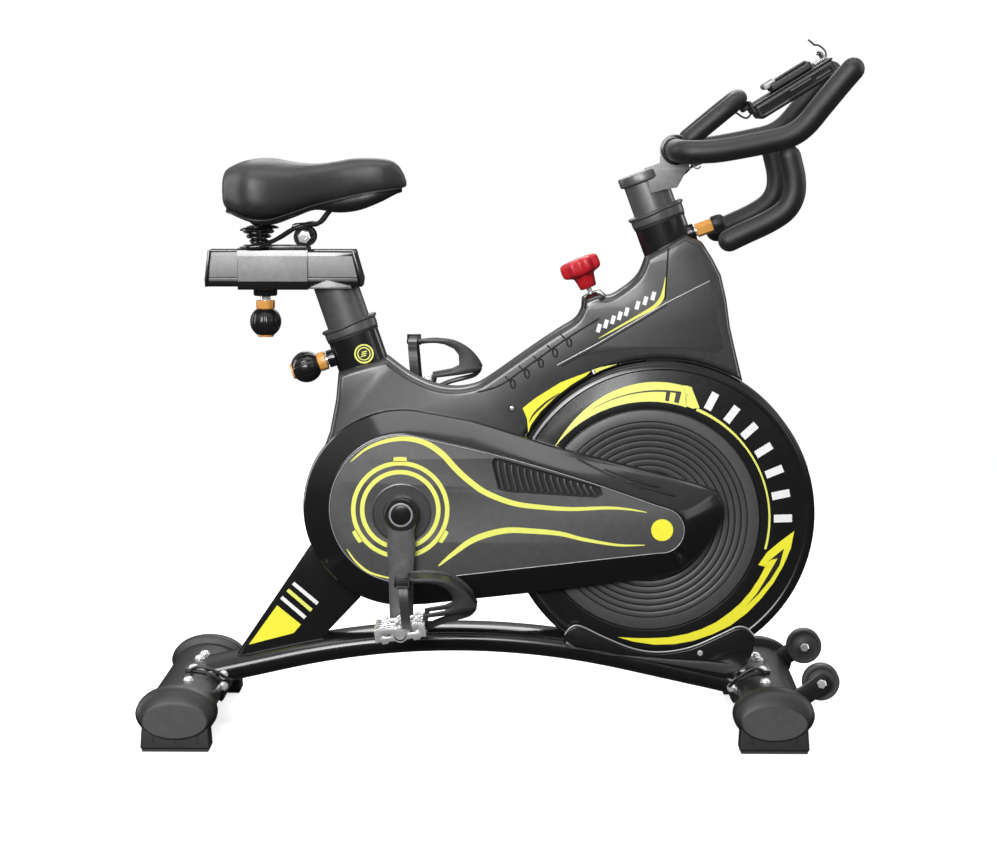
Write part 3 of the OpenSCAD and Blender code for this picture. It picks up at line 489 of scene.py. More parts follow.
def lathe(name, profile, origin, axis, look, body="frame", sides=48, replaces=(), smooth=34, flute=None):
    """A turned piece: profile is (radius, height) pairs along axis from origin."""
    axis = Vector(axis).normalized()
    side = axis.cross(Vector((0.2, 0.3, 1) if abs(axis.z) < 0.9 else (1, 0, 0))).normalized()
    up = axis.cross(side)
    rings = []
    for r, h in profile:
        ring = []
        for a in turns(sides):
            d = max(r, 0.01) * (flute(a, h) if flute else 1.0)
            ring.append(Vector(origin) + axis * h + side * d * cos(a) + up * d * sin(a))
        rings.append(ring)
    return skin(name, rings, look, body, replaces=replaces, smooth=smooth)


def spun(name, profile, x, z, side, look, body="frame", **more):
    """A turned piece round a line across the bike; heights are measured from the middle plane."""
    return lathe(name, profile, (x, 0, z), (0, side, 0), look, body, **more)


# ---------- places and outlines shared with the frame ----------

WHEEL = (253.0, 340.0)
WHEEL_R = 246.0
RIB_C = (234.2, 333.0)
CRANK = (-156.0, 350.0)
CASE_C, CASE_R = (-157.0, 354.0), 157.0
FACE = ((-153.0, 356.0), 118.0, (253.0, 323.0), 37.0)
FEET = ((-498, "rear", 1), (422, "front", -1))
FOOT_Z = 56
BEAM_W = 50.0
BEAM_X, BEAM_LENGTH = -470, 868
COVER_Y = 40
DISH_Y = 43.4
FACE_Y = -92.5
SEAT = leant((-228.8, 0, 600), 19)
HEAD = leant((255.5, 0, 790), 20)
BRAKE = leant((124.5, 0, 734), 22)


def arch_at(x):
    """Height of the base beam's centreline."""
    radius, slope = 1250, radians(12.5)
    d, flat = abs(x + 73), radius * sin(slope)
    if d < flat:
        return 138 - radius + sqrt(radius ** 2 - d * d)
    return 138 - radius * (1 - cos(slope)) - (d - flat) * tan(slope)


def cover_outline():
    """Side outline of the frame covers, anticlockwise from the back of the seat tube."""
    return ([(-259, 566), (-263, 523), (-273, 472), (-286, 436)]
            + arc(CASE_C, CASE_R - 7, 168, 272, 16)
            + arc(WHEEL, WHEEL_R + 3, 206, 58.6, 40)
            + [(371, 600), (362, 639), (356, 682), (347, 721), (333, 748), (317, 773), (290, 785)]
            + curve([(228, 750), (220, 728), (210, 714), (193, 700), (172, 688), (147, 687), (130, 674),
                     (118, 652), (89, 633), (50, 607), (-18, 559), (-42, 546), (-72, 541), (-108, 546),
                     (-147, 564), (-182, 590)], 4))


def case_outline():
    """Side outline of the belt case where it meets the frame."""
    return (arc(CASE_C, CASE_R, 76, 268, 48)
            + curve([(-120, 199), (-40, 208), (94, 223), (189, 236), (263, 246), (300, 264), (334, 306),
                     (352, 345), (346, 372), (322, 389), (206, 421), (93, 450), (19, 473), (-51, 494)], 6))


def spine(p):
    """Nearest point to p on the line of the two hubs, and the face plate's radius there."""
    (c1, r1, c2, r2) = FACE
    a, b = Vector(c1), Vector(c2)
    t = max(0.0, min(1.0, (p - a).dot(b - a) / (b - a).length_squared))
    return a + (b - a) * t, r1 + (r2 - r1) * t, t


def spine_point(p, share):
    """From p, share of the way to the face plate's edge, measured from the line of the two hubs."""
    c, radius, t = spine(p)
    bulge = 9 * sin(pi * t) if p.y > c.y else 0
    edge = c + (p - c).normalized() * (radius + bulge)
    return p + (edge - p) * share


# ---------- base ----------

def base():
    beam = [Vector((x, arch_at(x))) for x in [BEAM_X + i * BEAM_LENGTH / 60 for i in range(61)]]
    rings = []
    for p, normal in with_normals(beam):
        ring = [(p + normal * 22 * soft(sin(a), 0.82), BEAM_W * soft(cos(a), 0.78)) for a in turns(40)]
        rings.append([(q.x, y, q.y) for q, y in ring])
    skin("arched_beam", rings, "paint", replaces=("base_beam",), smooth=60)
    for x, where, side in FEET:
        saddle = arc_oval(58, 36, range(-30, 99, 8)) + arc_oval(52.3, 30.3, range(98, -31, -8))
        plate("beam_saddle." + where, [[(x + side * u, FOOT_Z + v) for u, v in saddle]], -BEAM_W, BEAM_W,
              "leg", edge=0.8)
        plate("stabilizer_tube." + where, [oval(52, 30, x, FOOT_Z), oval(49.5, 27.5, x, FOOT_Z)], -235, 235,
              "leg", replaces=(where + "_stabilizer",))


def arc_oval(a, b, degrees):
    return [(a * cos(radians(d)), b * sin(radians(d))) for d in degrees]


def end_cap(name, x, side):
    """Rounded shoe on a stabilizer's end, over a foot block."""
    rings = [[(p.x, side * y, p.y) for p in oval(a, b, x, z, 72)]
             for y, a, b, z in ((204, 60, 38, 57), (206, 62.5, 40.5, 57), (214, 63, 41, 57),
                                (232, 62.5, 40.5, 56.6), (239, 60, 37.5, 55), (244, 56, 33, 52),
                                (248, 53, 29.5, 49.5), (249.6, 51, 27, 48))]
    skin(name, rings, "cap", smooth=40)
    plate(name + ".disc", [oval(49, 25.4, x, 48)], side * 249.4, side * 250, "cap_face")
    block = [[(x - half, side * y0, z), (x + half, side * y0, z), (x + half, side * y1, z),
              (x - half, side * y1, z)]
             for z, half, y0, y1 in ((52, 50, 208, 243), (34, 52, 206, 245.5), (4, 54, 205, 246))]
    skin(name + ".block", block, "cap", bevel=3.0)
    sole = [(x + u * half, side * y, z) for half, z in ((51, 0), (52, 4.2))
            for u, y in ((-1, 207), (1, 207), (1, 244.5), (-1, 244.5))]
    add(name + ".sole", sole, BOX_FACES, "sole", bevel=1.0)
    for u in (-34, 0, 34):
        box("%s.ridge.%d" % (name, u), (x + u - 1.1, side * 246, 14), (x + u + 1.1, side * 246.8, 30), "cap",
            bevel=0.3)


def end_caps():
    for x, where, _ in FEET:
        for side, hand in SIDES:
            end_cap("end_cap.%s.%s" % (where, hand), x, side)
    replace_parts(bpy.data.objects["end_cap.rear.right"], "end_caps", "foot_pads")


# ---------- frame covers ----------

def rear_leg():
    half = 32.5
    outline = ((-296, 112), (-278, 150), (-226, 205), (-176, 290), (-176, 340), (-262, 345), (-311, 279),
               (-438, 92))
    plate("rear_leg", [outline], -half, half, "shell", edge=4.0)
    for side, hand in SIDES:
        print_on("leg_print.wedge." + hand, [(-405, 128), (-333, 147), (-321, 161), (-359, 192)], half * side,
                 "lime")
        for i, (low, high, look) in enumerate((((-352, 205), (-314, 172), "white"),
                                               ((-342, 217), (-304, 184), "pale"),
                                               ((-333, 228), (-294, 195), "white"))):
            print_on("leg_print.bar%d.%s" % (i, hand), ribbon([low, high], 6, (1, 1)), half * side, look)


def frame_covers():
    outline = cover_outline()
    for side, hand in SIDES:
        rings = [facing(inset(outline, d), side * y)
                 for d, y in ((0, 0.15), (0, 24), (1, 31), (3, 35.6), (5.5, 38.4), (8, 39.6), (10, COVER_Y))]
        skin("frame_cover." + hand, rings, "cover", smooth=30, replaces=("frame_cover_" + hand,))
    boss = [(57, 38), (60, 41), (60, 76), (57, 82), (50, 85), (40, 86), (14, 86), (14, 84)]
    spun("crank_boss.left", boss, *CRANK, 1, "shell")


def head_panels():
    """Dark panel painted to look sunk into the covers under the handlebar, with a painted highlight along its
    upper edge, a painted shadow line just under that edge and a dark line painted as the shade in a fold.
    """
    panel = [(95, 581), (153, 612), (262, 677), (328, 711), (340, 660), (350, 608)]
    low = curve([(340, 599), (277, 606), (220, 606), (164, 601), (113, 590)], 5)
    folds = (("panel_edge.", 1.1, "line", [(88, 579), (153, 614), (262, 679), (329, 713)]),
             ("panel_shadow.", 1.1, "gap", [(95, 578), (153, 610), (262, 675)]),
             ("head_fold.", 1.3, "gap", [(263, 765), (261, 730), (258, 683)]))
    for side, hand in SIDES:
        # The dark plate is painted shade that makes the panel look sunk; it stands proud of the cover
        plate("sunk_panel." + hand, [panel + low], side * (COVER_Y - 0.4), side * (COVER_Y + 0.4), "recess",
              edge=0.2)
        for name, radius, look, line in folds:
            tube(name + hand, facing(line, side * COVER_Y), radius, look, sides=10)


def top_tube_marks():
    """Five dark lines painted as the shade in grooves over the shoulder of the top tube, each ending in an
    open link, above a dark line painted as the shade in a long fold.
    """
    drop = ((0, 22), (0.05, 31.4), (0.14, 36.2), (0.25, 39.0), (0.37, 40.2), (0.76, 40.4))
    for side, hand in SIDES:
        for i in range(5):
            x, z = 18.5 + 22.2 * i, 549.5 + 16.5 * i
            path = curve([(x - 16.8 * (1 - u), side * y, z + 16 * (1 - u)) for u, y in drop], 3)
            tube("strap.%d.%s" % (i, hand), path, 1.15, "gap", sides=10)
            hook = [(x - 12.6, side * 36.0, z + 15.6), (x - 8.4, side * 36.4, z + 16.6)]
            tube("strap_hook.%d.%s" % (i, hand), hook, 1.1, "gap", sides=8)
            loop = [(x + 3.4 * cos(a) - 1.6 * sin(a), side * 40.2, z + 6.4 * sin(a) + 1.6 * cos(a))
                    for a in turns(20) + [0]]
            tube("strap_loop.%d.%s" % (i, hand), loop, 1.25, "gap", sides=8, ends="flat")
        fold = curve([(-40, side * COVER_Y, 536)]
                     + facing([(-10, 544), (12, 556), (60, 591), (107, 624), (157, 655)],
                              side * (COVER_Y + 0.1)), 5)
        tube("shoulder_fold." + hand, fold, [0.3] + [1.5] * (len(fold) - 2) + [0.3], "gap", sides=8)
        place, out = (17, side * 39.9, 511), (0, side, 0)
        lathe("cover_screw_ring." + hand, [(5.6, 0), (5.6, 1.0), (4.4, 1.6), (3.6, 1.2)], place, out, "gap",
              sides=28)
        lathe("cover_screw." + hand, [(3.7, 0), (3.7, 1.2), (2.6, 1.9), (1, 2)], place, out, "chrome",
              sides=24)


def frame_prints():
    wedge = [(34, 511), (54, 527), (94, 552), (133, 567), (142, 570.5), (134, 562.5), (112, 549), (86, 529),
             (62, 505), (47, 484), (43, 472), (41, 494)]
    slit = ribbon([(44, 488), (52, 502), (72, 521), (94, 536)], 3.2)
    sweep = ribbon([(154, 622), (212, 655), (240, 671), (252, 684), (257, 700), (259, 719)], 6.5, (0.1, 0.1),
                   0.6)
    for side, hand in SIDES:
        y = COVER_Y * side
        print_on("cover_print.wedge." + hand, wedge, y, "lime")
        print_on("cover_print.slit." + hand, slit, y * 1.01, "gap", 0.3)
        print_on("cover_print.tip." + hand, [(147, 573), (156, 576), (184, 581.5), (156, 570.5), (150, 567)],
                 y, "pale")
        print_on("cover_print.dash." + hand, [(143, 571.5), (146, 572.5), (149, 566.5), (146, 565)], y,
                 "white")
        print_on("cover_print.sweep." + hand, sweep, y * 1.005, "pale")
        for i, t in enumerate((0, 0.13, 0.26, 0.385, 0.51, 0.71, 0.855, 1.0)):
            x, z = 154.2 + 85.6 * t, 638.2 + 50.8 * t
            bar = ribbon([(x - 1.8, z - 6.6), (x + 1.8, z + 6.6)], 6.4, (1, 1))
            print_on("cover_print.tick%d.%s" % (i, hand), bar, y, "white")


# ---------- wheel cover ----------

def round_rings(profile, side):
    """Circles round a centre of the wheel cover, from (centre, radius, y) steps."""
    return [facing(arc(c, r, 0, 357.5, 143), side * y) for c, r, y in profile]


def wheel_cover(side, hand):
    """Round cover whose face steps in to a satin band and a field of fine ribs off its centre."""
    rim = [(WHEEL, r, y) for r, y in ((246, 0.15), (246, 30), (245.2, 36), (243.5, 40.5), (240.5, 43.6),
                                      (237, 45), (233.5, 45), (231.5, 43.8))]
    field = [(RIB_C, r, y) for r, y in ((209, 43.4), (188, 43.4), (179, 43.2), (177.5, 42.2), (176, 43.0))]
    skin("wheel_cover." + hand, round_rings(rim + field, side), "wheel", smooth=28,
         replaces=("wheel_cover_" + hand,))
    band = [(RIB_C, r, y) for r,
            y in ((175.2, 42.5), (175.2, 44.0), (174.4, 44.4), (158.6, 44.4), (157.4, 43.2),
                                       (157.4, 42.5))]
    skin("wheel_band." + hand, round_rings(band, side), "band", loop=True, smooth=28)
    profile = [(156.6, 41.5)]
    r = 156.6
    while r > 40:
        profile += [(r, 42.6), (r - 0.7, 44.1), (r - 4.6, 44.6), (r - 8.4, 43.5), (r - 9.0, 42.4)]
        r -= 9.9
    profile += [(r, 42.6), (r - 0.8, 44.2), (12, 44.6), (2, 44.7)]
    ribs = round_rings([(RIB_C, q, y) for q, y in profile], side)
    skin("wheel_ribs." + hand, ribs, "rib", caps=(False, True), smooth=24)


def cut_up(mesh, step):
    """Cuts a flat piece into cells step millimetres wide, so that it can follow a curved face."""
    with edited(mesh) as bm:
        for axis in (Vector((1, 0, 0)), Vector((0, 0, 1))):
            reach = [v.co.dot(axis) for v in bm.verts]
            at = min(reach) + step * MM
            while at < max(reach):
                bmesh.ops.bisect_plane(bm, geom=bm.verts[:] + bm.edges[:] + bm.faces[:], plane_co=axis * at,
                                       plane_no=axis)
                at += step * MM


def dish(names):
    """Tilts the outer ring of the wheel covers and their prints slightly back towards the rim."""
    for obj in list(scene.objects):
        if obj.type == "MESH" and obj.name.startswith(names):
            if not obj.name.startswith(names[0]):
                cut_up(obj.data, 9)
            for v in obj.data.vertices:
                r = hypot(v.co.x / MM - RIB_C[0], v.co.z / MM - RIB_C[1])
                share = max(0.0, min(1.0, (abs(v.co.y) / MM - 34) / 7))
                v.co.y -= copysign(0.12 * max(0.0, min(r - 188, 62)) * share * MM, v.co.y)


def polar_band(inner, outer, start, end, steps=30):
    """Outline between two radii, which are functions of the share of the way from start to end."""
    def at(radius, t):
        a = radians(start + (end - start) * t)
        return Vector((RIB_C[0] + radius(t) * cos(a), RIB_C[1] + radius(t) * sin(a)))
    shares = [i / steps for i in range(steps + 1)]
    return [at(inner, t) for t in shares] + [at(outer, t) for t in reversed(shares)]


def wheel_prints(side, hand):
    y = DISH_Y * side
    # Lemon line, and the sweep that it grows out of at the top
    line = polar_band(lambda t: 189.5 + 1.5 * sin(pi * t), lambda t: 194.5 - 1.2 * t, 67, -14)
    print_on("wheel_print.line." + hand, line, y, "pale", 0.45)
    top = polar_band(lambda t: 189.2, lambda t: 190 + 31 * sin(pi / 2 * min(1, t * 1.12)) ** 1.3, 142, 72, 40)
    nose = [(284, 548), (294, 547), (301, 545), (314, 512), (303, 511), (293, 515), (287, 517)]
    print_on("wheel_print.top." + hand, top, y, "pale", 0.4)
    print_on("wheel_print.nose." + hand, nose, y, "pale", 0.4)
    slits = (polar_band(lambda t: 198 + 9.5 * t, lambda t: 198.6 + 12.2 * t, 117, 76, 20),
             polar_band(lambda t: 192, lambda t: 206.6, 82.5, 80.7, 3),
             polar_band(lambda t: 192, lambda t: 210, 78.2, 76, 3))
    for i, dark in enumerate(slits):
        print_on("wheel_print.slit%d.%s" % (i, hand), dark, y + 0.3 * side, "recess")
    # Broad sweep at the lower front, cut by a thin dark bolt
    low = [(466, 315), (444, 299), (423, 281.5), (409, 261.4), (420, 258), (411, 240), (397, 218), (381, 199),
           (364, 184), (342, 168), (320, 157.5), (298, 150), (268, 144), (240, 142.5), (212, 142.6),
           (186, 144), (212, 136.5), (245, 131.8), (276, 132.6), (308, 138.5), (338, 149), (366, 163),
           (392, 183), (414, 206), (434, 232), (450, 261), (461, 288)]
    print_on("wheel_print.low." + hand, low, y, "lime", 0.4)
    bolt = [(450, 287), (436, 276), (423, 265), (430, 269.5), (440, 271.5), (424, 243), (408, 216),
            (391, 195), (410, 214), (428, 236), (443, 260)]
    print_on("wheel_print.bolt." + hand, bolt, y + 0.3 * side, "gap")
    # Seven plain marks on the black band
    for i in range(7):
        a = radians(62.5 - 10.3 * i)
        out, across = Vector((cos(a), sin(a))), Vector((-sin(a), cos(a)))
        mark = [Vector(RIB_C) + out * (213.5 + u) + across * v
                for u, v in ((-14.5, -6.2), (14.5, -6.2), (14.5, 6.2), (-14.5, 6.2))]
        print_on("wheel_mark.%d.%s" % (i, hand), mark, y, "white", 0.45)


def cradles():
    """Guard along the foot of the wheel cover, with a rolled lip whose pale line is a painted highlight, and
    a flange folded over the beam, painted in a paler satin as the highlight along it.
    """
    lip = curve([(101, 150), (112, 163), (128, 164), (166, 146), (212, 128), (254, 123), (302, 131),
                 (350, 152), (376, 164), (392, 161), (404, 148)], 6)
    foot = [(x, arch_at(x) + 8) for x in range(370, 119, -25)]
    outline = [(100, 138)] + lip + [(401, 122), (392, 104), (385, 98)] + foot + [(104, 131)]
    flange = ((104, 140), (102, 134), (107, 127.5), (160, 121), (219, 110.5), (290, 99), (359, 87), (385, 95),
              (378, 102), (330, 107.5), (265, 111.5), (172, 119), (118, 130))
    for side, hand in SIDES:
        piece = plate("wheel_cradle." + hand, [outline], side * 50, side * 56, "shell", edge=1.6)
        plate("cradle_flange." + hand, [flange], side * 50, side * 58, "cover", edge=1.8)
        tube("cradle_lip." + hand, [(p.x, side * 55.2, p.y - 0.6) for p in lip], 1.25, "line", sides=12)
        tube("cradle_bead." + hand, [(p.x, side * 56.0, p.y - 5) for p in lip[2:-2]], 1.3, "shell", sides=10)
        lathe("cradle_screw." + hand, [(4.4, 0), (4.4, 1.6), (3.6, 2.4), (2, 2.4)], (317, side * 55.9, 121),
              (0, side, 0), "chrome", sides=28)
        if side < 0:
            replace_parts(piece, "wheel_cradles")


# ---------- belt case ----------

def belt_case():
    outline = case_outline()
    steps = [(0, 50), (0, 57.5), (0.01, 60), (0.035, 62), (0.10, 64.6), (0.25, 69.4), (0.45, 75.6),
             (0.65, 81.6), (0.82, 86.4), (0.92, 89.0), (0.975, 90.2), (1.0, 90.2), (1.0, 86), (0.9, 84),
             (0.4, 70), (0.03, 57), (0.03, 50)]
    rings = [facing([spine_point(p, s) for p in outline], -y) for s, y in steps]
    skin("belt_case", rings, "shell", loop=True, replaces=("belt_cover_outer",), smooth=34)
    face = [spine_point(p, 1.0) for p in outline]
    vent = [(-12, 431), (-2, 390), (10, 386), (150, 377.5), (158, 381), (155, 391), (146, 394), (0, 435),
            (-9, 436)]
    plate("belt_face", [inset(face, 2.2), vent, arc(CRANK, 44, 0, 354, 59)], FACE_Y, -89.5, "face", edge=0.8,
          replaces=("belt_cover_face",))
    # Pale line round the face plate: a painted highlight on its edge
    rim = inset(face, 1.3)
    tube("belt_face_rim", facing(rim + rim[:1], -91.8), 0.75, "line", sides=8, ends="flat")
    # Near-black plate behind the slats: painted shade inside the vent
    plate("vent_well", [inset(vent, -2)], -86.5, -85.5, "gap", replaces=("vent_grille",))
    slats = 15
    for i in range(slats):
        t = (i + 0.5) / slats
        x = -4 + 156 * t
        top, low = 434.5 - 42 * t, 388 - 10.5 * t
        slat = [(x - 5.2, -90.6, top - 1), (x - 4.2, -91.4, top - (top - low) * 0.35),
                (x + 2.5, -90.6, low + 1)]
        tube("vent_slat.%d" % i, curve(slat, 3), 2.0, "post", sides=12, ends="flat")
    # Dark ring round the vent: painted shade at its rim
    bezel = inset(vent, -1.2)
    tube("vent_bezel", facing(bezel + bezel[:1], -92.6), 1.1, "gap", sides=8, ends="flat")
    cup = [(47, 0), (47, 1.0), (45, 1.4), (43.5, -1), (42, -3.2), (37, -4.5), (32, -3), (28.5, 1), (26, 4.5),
           (22.5, 6.5), (16, 7)]
    lathe("crank_cup", cup, (CRANK[0], FACE_Y, CRANK[1]), (0, -1, 0), "cover", sides=72)
    # Dark lines painted as the shade in cooling slots in the upper flank towards the tip
    for i, slot in enumerate((((118, 434), (150, 418), (182, 402)), ((158, 418), (205, 402), (252, 389)),
                              ((196, 401), (240, 386), (276, 376)), ((150, 408), (190, 397), (232, 386)))):
        tube("case_slot.%d" % i, curve([flank(p) for p in slot], 5), [0.6] + [2.6] * 9 + [0.6], "gap",
             sides=10, ends="flat")


def flank(p):
    """Point on the flank of the belt case over X-Z point p."""
    p = Vector(p)
    c, inner, _ = spine(p)
    out = (p - c).normalized()
    outer = inner
    while outer < 260 and inside(c + out * outer, case_outline()):
        outer += 1.0
    share = max(0.0, min(1.0, 1 - ((p - c).length - inner) / max(outer - inner, 1)))
    return Vector((p.x, -(60 + 30.2 * share ** 0.85), p.y))


def inside(p, outline):
    odd = False
    for i in range(len(outline)):
        a, b = outline[i - 1], outline[i]
        if (a.y > p.y) != (b.y > p.y) and p.x < (b.x - a.x) * (p.y - a.y) / (b.y - a.y) + a.x:
            odd = not odd
    return odd


def belt_prints():
    """Two rings with tabs round the crank, and long tapering curves across the face plate."""
    c = (-158, 355)
    for i, (outer, inner) in enumerate(((77.5, 70.5), (63.5, 56.5))):
        print_on("face_print.ring%d" % i, [arc(c, outer, 0, 356, 89), arc(c, inner, 0, 356, 89)], FACE_Y,
                 "pale")
    for i, a in enumerate((90, 212, 328)):
        print_on("face_print.tab%d" % i, arc(c, 76.5, a - 8, a + 8, 6) + arc(c, 84, a + 7, a - 7, 6), FACE_Y,
                 "pale")
    upper = [(-236, 431), (-212, 451), (-184, 463), (-150, 468), (-118, 461), (-92, 444), (-70, 420),
             (-48, 400), (-22, 382), (20, 366), (62, 360), (112, 357), (166, 359), (200, 357), (230, 352)]
    lower = [(-98, 266), (-79, 282), (-50, 304), (-22, 316), (11, 323), (48, 322), (93, 318), (130, 309),
             (184, 300), (227, 300)]
    short = [(-243, 293), (-228, 272), (-206, 255), (-174, 246)]
    print_on("face_print.upper", ribbon(upper, 9.5, (0.1, 0.1), 0.42), FACE_Y, "pale")
    print_on("face_print.lower", ribbon(lower, 9.5, (0.15, 0.1), 0.3), FACE_Y, "pale")
    print_on("face_print.arc", ribbon(short, 3.6, (0.15, 0.6)), FACE_Y, "pale")
    print_on("face_print.dot", arc((254, 324), 17.3, 0, 350, 35), FACE_Y, "lime", 0.5)


# ---------- cranks and pedals ----------

CRANK_LENGTH = 170
PEDAL_Y = 170


def crank(side, hand, down):
    x0, z0 = CRANK
    stations = [(0, 25, 100, 115), (18, 23, 100, 115), (30, 20.5, 100, 115), (48, 22.5, 100, 114.4),
                (62, 22, 100.5, 114), (90, 19.5, 100.5, 113.5), (120, 19.5, 101, 113), (150, 19, 101.5, 113),
                (168, 18.4, 101.5, 113), (180, 14, 102, 112.6), (187, 6, 103, 112)]
    rings = []
    for d, half, y0, y1 in stations:
        mid, depth = (y0 + y1) / 2, (y1 - y0) / 2
        rings.append([(x0 + half * soft(cos(a), 0.7), side * (mid + depth * soft(sin(a), 0.8)), z0 - down * d)
                      for a in turns(28)])
    skin("crank_arm." + hand, rings, "crank", "crankset", replaces=(hand + "_crank",), smooth=50)
    boss = [(26, 96), (27, 98), (27, 111), (26.2, 114.4), (24.6, 116), (19, 116), (18.4, 114.5),
            (18.0, 112.4)]
    ring = [(18.4, 114.4), (18.9, 116.2), (17.8, 117.0), (16.2, 117.0), (15.7, 115.4)]
    cap = [(15.8, 113), (15.8, 116.6), (14.6, 118.0), (9, 118.8), (1, 119)]
    flange = [(11.5, 112.4), (11.5, 115.4), (10.6, 116.4), (7, 116.4)]
    spun("crank_boss_ring." + hand, boss, x0, z0, side, "ball", "crankset", sides=64)
    # Pale ring between boss and cap: a painted highlight
    spun("crank_ring." + hand, ring, x0, z0, side, "line", "crankset", sides=56)
    cap = spun("crank_cap." + hand, cap, x0, z0, side, "paint", "crankset")
    if side < 0:
        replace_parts(cap, "crank_caps")
    spun("axle_flange." + hand, flange, x0, z0 - down * CRANK_LENGTH, side, "chrome", "crankset", sides=6)


def pedal(side, hand, z):
    """Alloy cage with toothed rails, pierced end plates, webs and the barrel round its axle."""
    x0, body = CRANK[0], "pedal_" + hand
    made = []
    teeth = [(127 + i * 86 / 12, 12.6 if i % 2 else 9.6) for i in range(13)]
    foot = [(205 - 8 * k, -9.4 if k % 2 else -12.2) for k in range(9)]
    outline = [(127, -11)] + teeth + [(213, -11)] + foot
    for where, x in (("rear", x0 - 37), ("front", x0 + 37)):
        rings = [[(x + half, side * u, z + h) for u, h in outline] for half in (-2.6, 2.6)]
        made.append(skin("pedal_rail.%s.%s" % (where, hand), rings, "alloy", body, bevel=0.7, segments=2))
    edge = ((-37, -9), (-37, 10), (-31, 11), (-29, 14), (-22, 14), (-20, 10.5), (-9, 10.5), (-6, 8), (6, 8),
            (9, 10.5), (20, 11), (22, 14.5), (29, 14.5), (31, 11), (37, 12), (37, -10), (31, -11), (29, -14),
            (20, -14), (18, -10.5), (9, -11.5), (4, -14), (-4, -14), (-9, -11.5), (-18, -10.5), (-20, -14),
            (-29, -14), (-31, -10))
    holes = [oval(7.5, 2.6, cx, cz, 16) for cx, cz in ((-22, -1), (22, 1))]
    for where, u0, u1 in (("inner", 125.4, 129.5), ("outer", 210, 214.2)):
        outlines = [[(x0 + p[0], z + p[1]) for p in line] for line in [edge] + holes]
        made.append(plate("pedal_end.%s.%s" % (where, hand), outlines, side * u0, side * u1, "alloy", body,
                          edge=0.8))
    # The middle of the three hub rings is a real 1 mm step, painted near-black as the shade in it
    for i, (r0, r1, end, look) in enumerate(((11.5, 9.6, 215.2, "alloy"), (9.6, 7.6, 214.2, "gap"),
                                             (7.6, 1.0, 215.2, "alloy"))):
        made.append(spun("pedal_hub%d.%s" % (i, hand), [(r1, 213), (r1, end), (r0, end), (r0, 213)], x0,
                         z - 3, side, look, body, sides=36))
    for i, u in enumerate((150, 170, 190)):
        made.append(box("pedal_web.%d.%s" % (i, hand), (x0 - 36, side * u - 2.6, z - 6),
                        (x0 + 36, side * u + 2.6, z + 6), "alloy", body))
    barrel = [(9, 126.5), (12.4, 128), (12.4, 140), (10.6, 142), (10.2, 165), (11.6, 168), (11.6, 176),
              (10.2, 180), (10.2, 198), (12, 202), (12, 211), (9.5, 214.4), (6, 214.8)]
    made.append(spun("pedal_barrel." + hand, barrel, x0, z, side, "alloy", body, sides=36))
    screw = [(5.4, 5.4), (5.4, 8.4), (4.4, 9.6), (2.6, 9.6), (2.2, 8.4)]
    lug = [(8.5, -6.5), (8.5, 5.5), (7.6, 6.4)]
    for i, (dx, u) in enumerate(((-26, 139), (26, 139), (-26, 201), (26, 201))):
        place = (x0 + dx, side * u, z)
        made.append(lathe("pedal_screw.%d.%s" % (i, hand), screw, place, (0, 0, 1), "chrome", body, sides=24))
        made.append(lathe("pedal_lug.%d.%s" % (i, hand), lug, place, (0, 0, 1), "alloy", body, sides=28))
    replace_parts(made[0], hand + "_pedal")
    nose_up = Matrix.Rotation(radians(-8), 4, "Y")
    to_axle = Matrix.Translation((-(x0 - 3) * MM, 0, -z * MM))
    turn = Matrix.Translation((x0 * MM, 0, z * MM)) @ nose_up @ to_axle
    for obj in made:
        obj.data.transform(turn)


